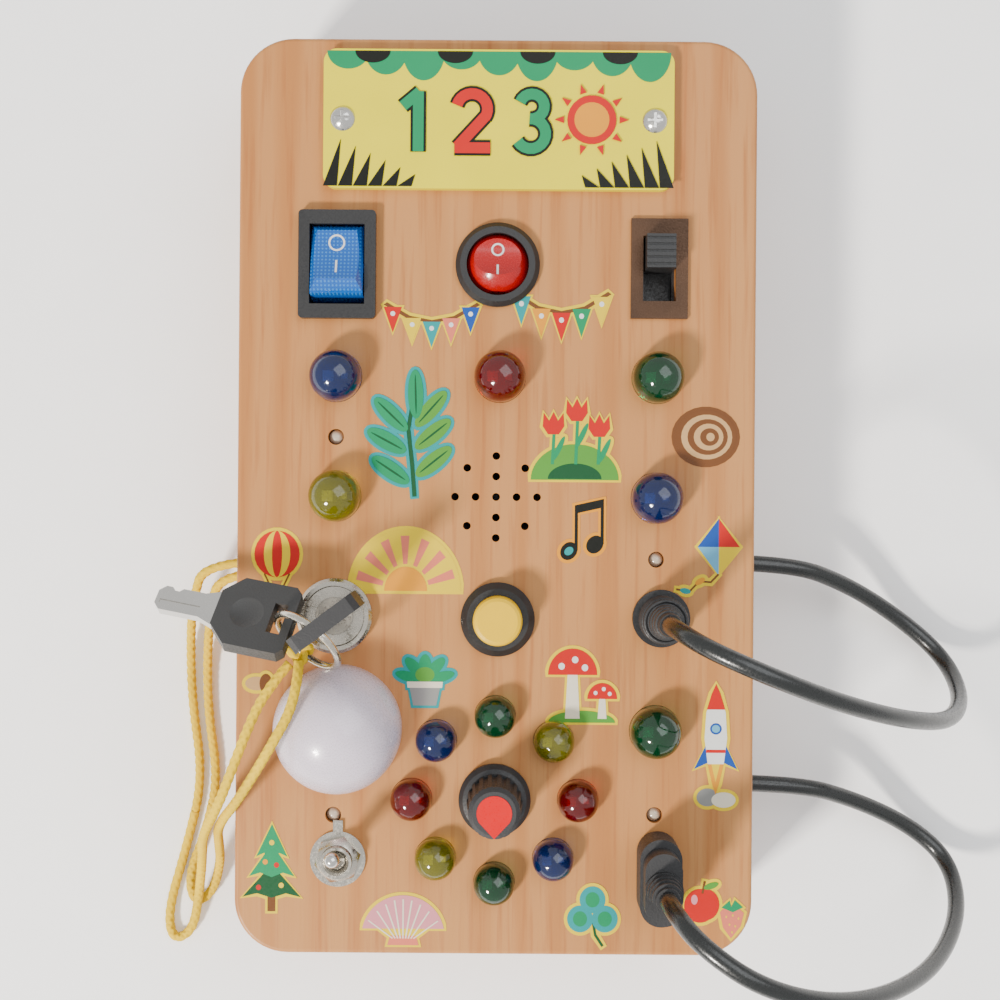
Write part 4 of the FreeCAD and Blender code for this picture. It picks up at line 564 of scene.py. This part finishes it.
kite = [("blue", [(0.2, 0.95), (-0.35, 0.25), (0.2, -0.45)]),
        ("red", [(0.2, 0.95), (0.75, 0.25), (0.2, -0.45)]),
        ("sky", [(-0.35, 0.25), (0.2, 0.25), (0.2, -0.45)]),
        ("yellow", [(0.2, 0.25), (0.75, 0.25), (0.2, -0.45)]),
        ("brown", ribbon([(0.2, -0.42), (0, -0.62), (-0.3, -0.6), (-0.55, -0.85), (-0.9, -0.8)], 0.05)),
        ("amber", oval(-0.28, -0.6, 0.14, 0.07, 30)), ("teal", oval(-0.66, -0.84, 0.14, 0.07, -10))]
balloon = [("red", oval(0, 0.3, 0.72, 0.66)), ("yellow", oval(0, 0.3, 0.42, 0.66)),
           ("red", oval(0, 0.3, 0.16, 0.66)),
           ("brown", ribbon([(-0.4, -0.25), (-0.16, -0.7)], 0.05)),
           ("brown", ribbon([(0.4, -0.25), (0.16, -0.7)], 0.05)),
           ("tan", [(-0.22, -0.66), (0.22, -0.66), (0.17, -0.98), (-0.17, -0.98)])]
acorn = [("tan", oval(-0.15, 0, 0.7, 0.6)), ("brown", oval(0.45, 0, 0.4, 0.85)),
         ("dark", oval(0.9, 0, 0.12, 0.2))]
plant = [("green", oval(u, v, 0.5, 0.2, turn)) for u, v, turn in
         ((-0.45, 0.15, 160), (0.45, 0.15, 20), (-0.3, 0.5, 125), (0.3, 0.5, 55), (0, 0.55, 90))]
plant += [("leaf", oval(0, 0.25, 0.3, 0.3)), ("grey", [(-0.5, -0.1), (0.5, -0.1), (0.36, -0.95), (-0.36,
                                                                                                  -0.95)]),
          ("cream", [(-0.56, -0.02), (0.56, -0.02), (0.54, -0.26), (-0.54, -0.26)])]
toadstools = [("leaf", oval(0, -0.95, 0.9, 0.3, start=0, sweep=180))]
for u, v, size in ((-0.25, 0.3, 0.66), (0.55, -0.3, 0.4)):
    toadstools.append(("cream", [(u - 0.2 * size, v), (u + 0.2 * size, v), (u + 0.3 * size, -0.85),
                                 (u - 0.3 * size, -0.85)]))
    toadstools.append(("red", oval(u, v - 0.05, size, size, start=0, sweep=180)))
    for a, b in ((-0.45, 0.25), (0.1, 0.5), (0.5, 0.2)):
        toadstools.append(("white", oval(u + a * size, v + b * size, 0.13 * size, 0.13 * size)))
rocket = [("grey", oval(-0.3, -0.82, 0.4, 0.14)), ("cream", oval(0.3, -0.86, 0.45, 0.12)),
          ("amber", [(-0.3, -0.3), (0.3, -0.3), (0.12, -0.62), (0, -0.78), (-0.12, -0.62)]),
          ("yellow", [(-0.16, -0.3), (0.16, -0.3), (0, -0.58)]),
          ("blue", [(-0.36, 0), (-0.8, -0.38), (-0.3, -0.28)]),
          ("blue", [(0.36, 0), (0.8, -0.38), (0.3, -0.28)]),
          ("white", [(-0.3, -0.3), (0.3, -0.3), (0.42, 0.1), (0.36, 0.5), (0.16, 0.8), (0, 0.95),
                     (-0.16, 0.8),
                     (-0.36, 0.5), (-0.42, 0.1)]),
          ("red", [(0.34, 0.55), (0.16, 0.8), (0, 0.95), (-0.16, 0.8), (-0.34, 0.55)]),
          ("blue", oval(0, 0.25, 0.22, 0.09)), ("sky", oval(0, 0.25, 0.15, 0.06)),
          ("red", ribbon([(-0.36, -0.1), (0.36, -0.1)], 0.05))]
fir = [("brown", [(-0.12, -0.98), (0.12, -0.98), (0.12, -0.6), (-0.12, -0.6)])]
for v, wide in ((-0.66, 0.9), (-0.2, 0.7), (0.24, 0.48)):
    fir.append(("dark" if v < -0.5 else "green", [(-wide, v), (-wide * 0.5, v + 0.08), (0, v - 0.02),
                                                  (wide * 0.5, v + 0.08),
                                                 (wide, v), (0, v + 0.72)]))
fir += [(ink, oval(u, v, 0.08, 0.06)) for ink, u, v in (("red", -0.4, -0.45), ("yellow", 0.3, -0.4),
                                                        ("red", 0.15, 0.05),
                                                        ("amber", -0.2, 0.12), ("yellow", 0, 0.55))]
shell = [("pink", oval(0, -0.6, 0.95, 1.5, start=10, sweep=160)),
         ("salmon", [(-0.3, -0.6), (0.3, -0.6), (0.36, -0.95), (-0.36, -0.95)])]
shell += [("cream", ribbon([(0.06 * i, -0.7), (0.2 * i, 0.76 - 0.05 * i * i)], 0.035)) for i in range(-4,
                                                                                                      5)]
clover = [("dark", ribbon([(0, -0.1), (0.1, -0.6), (0.35, -0.95)], 0.09))]
for u, v in ((-0.42, -0.1), (0.42, -0.1), (0, 0.5)):
    clover += [("teal", oval(u, v, 0.44, 0.42)), ("green", oval(u, v, 0.24, 0.24))]
fruit = [("red", oval(-0.42, 0.1, 0.5, 0.55)), ("red", oval(-0.22, 0.14, 0.4, 0.5)),
         ("brown", ribbon([(-0.35, 0.5), (-0.28, 0.9)], 0.07)),
         ("leaf", oval(-0.08, 0.75, 0.24, 0.1, 20)), ("pink", oval(-0.6, 0.3, 0.1, 0.16)),
         ("salmon", [(0.2, -0.1), (0.4, 0.12), (0.7, 0.1), (0.95, -0.12), (0.85, -0.55), (0.55, -0.95),
                     (0.3, -0.6)]),
         ("green", [(0.25, 0.05), (0.5, 0.28), (0.55, 0.08), (0.66, 0.3), (0.92, 0.06), (0.6, -0.1)])]
fruit += [("yellow", oval(u, v, 0.025, 0.04)) for u, v in ((0.4, -0.25), (0.6, -0.2), (0.78, -0.3), (0.5,
                                                                                                     -0.5),
                                                           (0.68, -0.55), (0.58, -0.75))]
designs = [("bunting_left", (-12.8, 32.9, 18.5, 11.7), bunting(["red", "yellow", "teal", "salmon",
                                                                "blue"])),
           ("bunting_right", (12.5, 34.7, 19.1, 13), bunting(["teal", "amber", "red", "green", "yellow"])),
           ("sprig", (-16.4, 10.8, 20, 22.8), sprig), ("tulips", (15.3, 11.7, 17.5, 17.4), tulips),
           ("wood_slice", (40.8, 12, 12.3, 11.1), slice_rings),
           ("half_sun", (-17.5, -12.5, 22, 13.5), rays),
           ("notes", (16.8, -6.4, 10.1, 13), notes), ("kite", (42, -11.4, 15, 15.8), kite),
           ("balloon", (-42.6, -13.5, 12.3, 13.8), balloon), ("acorn", (-46, -36.7, 6.2, 4.5), acorn),
           ("plant", (-13.6, -36, 12.5, 10), plant), ("toadstools", (17, -36.5, 14.5, 15.5), toadstools),
           ("rocket", (43.2, -48, 10.5, 25), rocket), ("fir", (-43.2, -72.5, 12.6, 17.5), fir),
           ("shell", (-17.5, -82.5, 17, 10.5), shell), ("clover", (19.4, -81.5, 11.5, 12.5), clover),
           ("fruit", (43, -80, 12.5, 12), fruit)]
borders = {"sprig": "teal", "plant": "teal", "wood_slice": "brown", "notes": "amber"}
for label, (x, y, wide, tall), shapes in designs:
    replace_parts(artwork("sticker_" + label, x, y, wide, tall, FACE, shapes, borders.get(label, "yellow")),
                "stickers")



def stroke(points, wide):
    """A band on the plate, with its points and width in mm."""
    return [(u / 34, v / 13.5) for u, v in ribbon(points, wide)]


def arc(x, y, radius, start, sweep):
    """Points along a round arc on the plate, in mm."""
    return oval(x, y, radius, radius, start=start, sweep=sweep, count=14)


plate = []
for i in range(9):
    plate.append(("green", oval(-0.86 + i * 0.215, 0.97, 0.12, 0.26 + 0.08 * (i % 3), start=180,
                                sweep=180)))
for i in range(4):
    plate.append(("black", oval(-0.72 + i * 0.47, 0.97, 0.1, 0.17, start=180, sweep=180)))
for side in (-1, 1):
    for i in range(6):
        foot = side * (0.96 - i * 0.085)
        plate.append(("black", [(foot - 0.04, -0.97), (foot + 0.04, -0.97),
                                (foot - side * 0.06, -0.3 - 0.1 * i)]))
digits = [("green", [(-18.6, 2.4), (-15.3, 5.2)]), ("green", [(-15.6, 5.3), (-15.6, -6.4)]),
          ("red", arc(-5.2, 1.9, 3, 165, -200)), ("red", [(-2.7, 0.4), (-8, -5.4)]),
          ("red", [(-8.6, -5.6), (-1.6, -5.6)]),
          ("green", arc(6.4, 2.5, 2.4, 160, -240)), ("green", arc(6.2, -2.8, 2.9, 95, -245))]
for wide in (3.0, 2.1):
    plate += [("black" if wide > 2.5 else ink, stroke(points, wide)) for ink, points in digits]
plate += [("red", oval(0.53, 0.0, 0.14, 0.35)), ("amber", oval(0.53, 0.0, 0.1, 0.25))]
for i in range(10):
    a = 2 * math.pi * i / 10
    plate.append(("red", [(0.53 + 0.16 * math.cos(a - 0.12), 0.4 * math.sin(a - 0.12)),
                          (0.53 + 0.21 * math.cos(a), 0.53 * math.sin(a)),
                          (0.53 + 0.16 * math.cos(a + 0.12), 0.4 * math.sin(a + 0.12))]))
artwork("plate_picture", 0, 73.2, 68, 27, FACE + 2, plate)

# Marks on the two rockers: a white ring and bar laid on each curved top. The blue resin has a fine dotted
# grid in it.
blue = resin("rocker_blue", (0, 104, 205), 0.22, through=0.2)
nodes, links = blue.node_tree.nodes, blue.node_tree.links
surface = nodes["Principled BSDF"]
where = nodes.new("ShaderNodeTexCoord").outputs["Object"]
cell = nodes.new("ShaderNodeVectorMath")
cell.operation = "SCALE"
cell.inputs["Scale"].default_value = 1370
links.new(where, cell.inputs[0])
spot = nodes.new("ShaderNodeVectorMath")
spot.operation = "FRACTION"
links.new(cell.outputs["Vector"], spot.inputs[0])
middle = nodes.new("ShaderNodeVectorMath")
middle.operation = "SUBTRACT"
middle.inputs[1].default_value = (0.5, 0.5, 0)
links.new(spot.outputs["Vector"], middle.inputs[0])
flatten = nodes.new("ShaderNodeVectorMath")
flatten.operation = "MULTIPLY"
flatten.inputs[1].default_value = (1, 1, 0)
links.new(middle.outputs["Vector"], flatten.inputs[0])
size = nodes.new("ShaderNodeVectorMath")
size.operation = "LENGTH"
links.new(flatten.outputs["Vector"], size.inputs[0])
dots = ranged(nodes, links, size.outputs["Value"], 0.2, 0.32, 1, 0)
worn = surface.inputs["Base Color"].links[0].from_socket
links.new(blended(nodes, links, dots, worn, linear((70, 150, 235))), surface.inputs["Base Color"])
dress(blue, "rocker_button")

mark_white = finish("mark_white", (242, 242, 240), 0.4, mottle=0.03)


def marks_on(node, x, ring_y, bar_y, body, ring=1.45, bar=2.5):
    """A ring and a bar of paint, each point dropped on the node's surface from above."""
    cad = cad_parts[node]
    tree = BVHTree.FromObject(cad, bpy.context.evaluated_depsgraph_get())
    inverse = cad.matrix_world.inverted()
    verts, faces = [], []

    def drop(px, py):
        hit = tree.ray_cast(inverse @ Vector((px * MM, py * MM, 0.06)),
                            inverse.to_3x3() @ Vector((0, 0, -1)))[0]
        verts.append(cad.matrix_world @ hit + Vector((0, 0, 0.00004)))

    for i in range(36):
        turn = 2 * math.pi * i / 36
        for radius in (ring - 0.18, ring + 0.18):
            drop(x + radius * math.cos(turn), ring_y + radius * math.sin(turn))
    for i in range(36):
        a, b = 2 * i, 2 * ((i + 1) % 36)
        faces.append((a, a + 1, b + 1, b))
    start = len(verts)
    for i in range(7):
        for side in (-0.2, 0.2):
            drop(x + side, bar_y - bar / 2 + bar * i / 6)
    for i in range(6):
        a = start + 2 * i
        faces.append((a, a + 1, a + 3, a + 2))
    piece = mesh_piece("marks_" + body, verts, faces)
    dress(mark_white, piece)
    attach(piece, body)


marks_on("rocker_button", -31.2, 49, 44.3, "rocker")
marks_on("round_rocker_button", 0, 48, 44, "round_rocker", 1.1, 2.0)

# Pointer: a red drop-shaped cap on top of the knob, its point towards the board's lower end
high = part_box("knob_pointer")[1][2] / MM
cap_radius = 3.3
drop_shape = [(KNOB[0] + cap_radius * math.cos(math.radians(a)),
               KNOB[1] + cap_radius * math.sin(math.radians(a)))
              for a in range(-30, 211, 10)]
drop_shape.append((KNOB[0], -63.6))
count = len(drop_shape)
verts = [Vector((x, y, z)) * MM for z in (high - 0.6, high - 0.05) for x, y in drop_shape]
faces = [(i, (i + 1) % count, count + (i + 1) % count, count + i) for i in range(count)]
cap = mesh_piece("pointer_cap", verts, faces + [tuple(range(count, 2 * count))])
dress(finish("pointer_cap_red", (232, 12, 24), 0.36, mottle=0.04, shine=0.25), cap)
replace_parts(cap, "knob_pointer")
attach(cap, "knob")

# Return spring under the push cap, a copy of the CAD spring with a mesh of its own
spring = bpy.data.objects.new("return_spring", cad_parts["button_spring"].data.copy())
bpy.context.scene.collection.objects.link(spring)
spring.matrix_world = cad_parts["button_spring"].matrix_world.copy()
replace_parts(spring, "button_spring")
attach(spring, "case")
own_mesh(spring)

# Plug grips: raised rings round the power plug and ridges round the USB plug's strain relief
def hoop(name, x, y, z, wide, tall, thick, material, body):
    """A closed ring of round section, lying flat."""
    ring = [Vector((x + wide * math.cos(2 * math.pi * i / 48), y + tall * math.sin(2 * math.pi * i / 48),
                    z))
            for i in range(48)]
    piece = tube(name, ring, thick, 10, closed=True)
    dress(material, piece)
    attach(piece, body)


for i, (z, wide) in enumerate(((33.5, 4.2), (35.7, 4.2), (37.9, 4.15), (40.1, 3.9))):
    hoop("dc_rib_%d" % i, *POWER, z, wide, wide, 0.42, soft_black, "dc_plug")
for i, (z, wide) in enumerate(((46.2, 2.5), (48.2, 2.3), (50.2, 2.1))):
    hoop("usb_rib_%d" % i, *USB, z, wide, wide, 0.4, soft_black, "usb_plug")

# Stage: a wide pale floor, a big soft lamp from the lower left and an even white surrounding
floor = mesh_piece("floor", [(-3, -3, 0), (3, -3, 0), (3, 3, 0), (-3, 3, 0)], [(0, 1, 2, 3)])
pale = finish("pale_floor", (255, 255, 255), 0.7, mottle=0.01, grain=0.02)
pale.node_tree.nodes["Group"].inputs["Color"].default_value = (0.95, 0.95, 0.95, 1)
dress(pale, floor)


def lamp(name, place, aim, size, power, colour):
    """A square soft lamp turned towards a point."""
    light = bpy.data.lights.new(name, "AREA")
    light.size = size
    light.energy = power
    light.color = colour
    holder = bpy.data.objects.new(name, light)
    holder.location = place
    holder.rotation_euler = (Vector(aim) - Vector(place)).to_track_quat("-Z", "Y").to_euler()
    bpy.context.scene.collection.objects.link(holder)


lamp("key_lamp", (-0.6, -0.65, 0.8), (0, 0, 0), 0.16, 26, (1, 0.94, 0.86))
lamp("fill_lamp", (0.5, 0.4, 1.0), (0, 0, 0), 0.9, 7, (0.94, 0.97, 1))
world = bpy.data.worlds.new("studio")
world.use_nodes = True
world.node_tree.nodes["Background"].inputs["Color"].default_value = (1, 1, 1, 1)
world.node_tree.nodes["Background"].inputs["Strength"].default_value = 1.0
bpy.context.scene.world = world
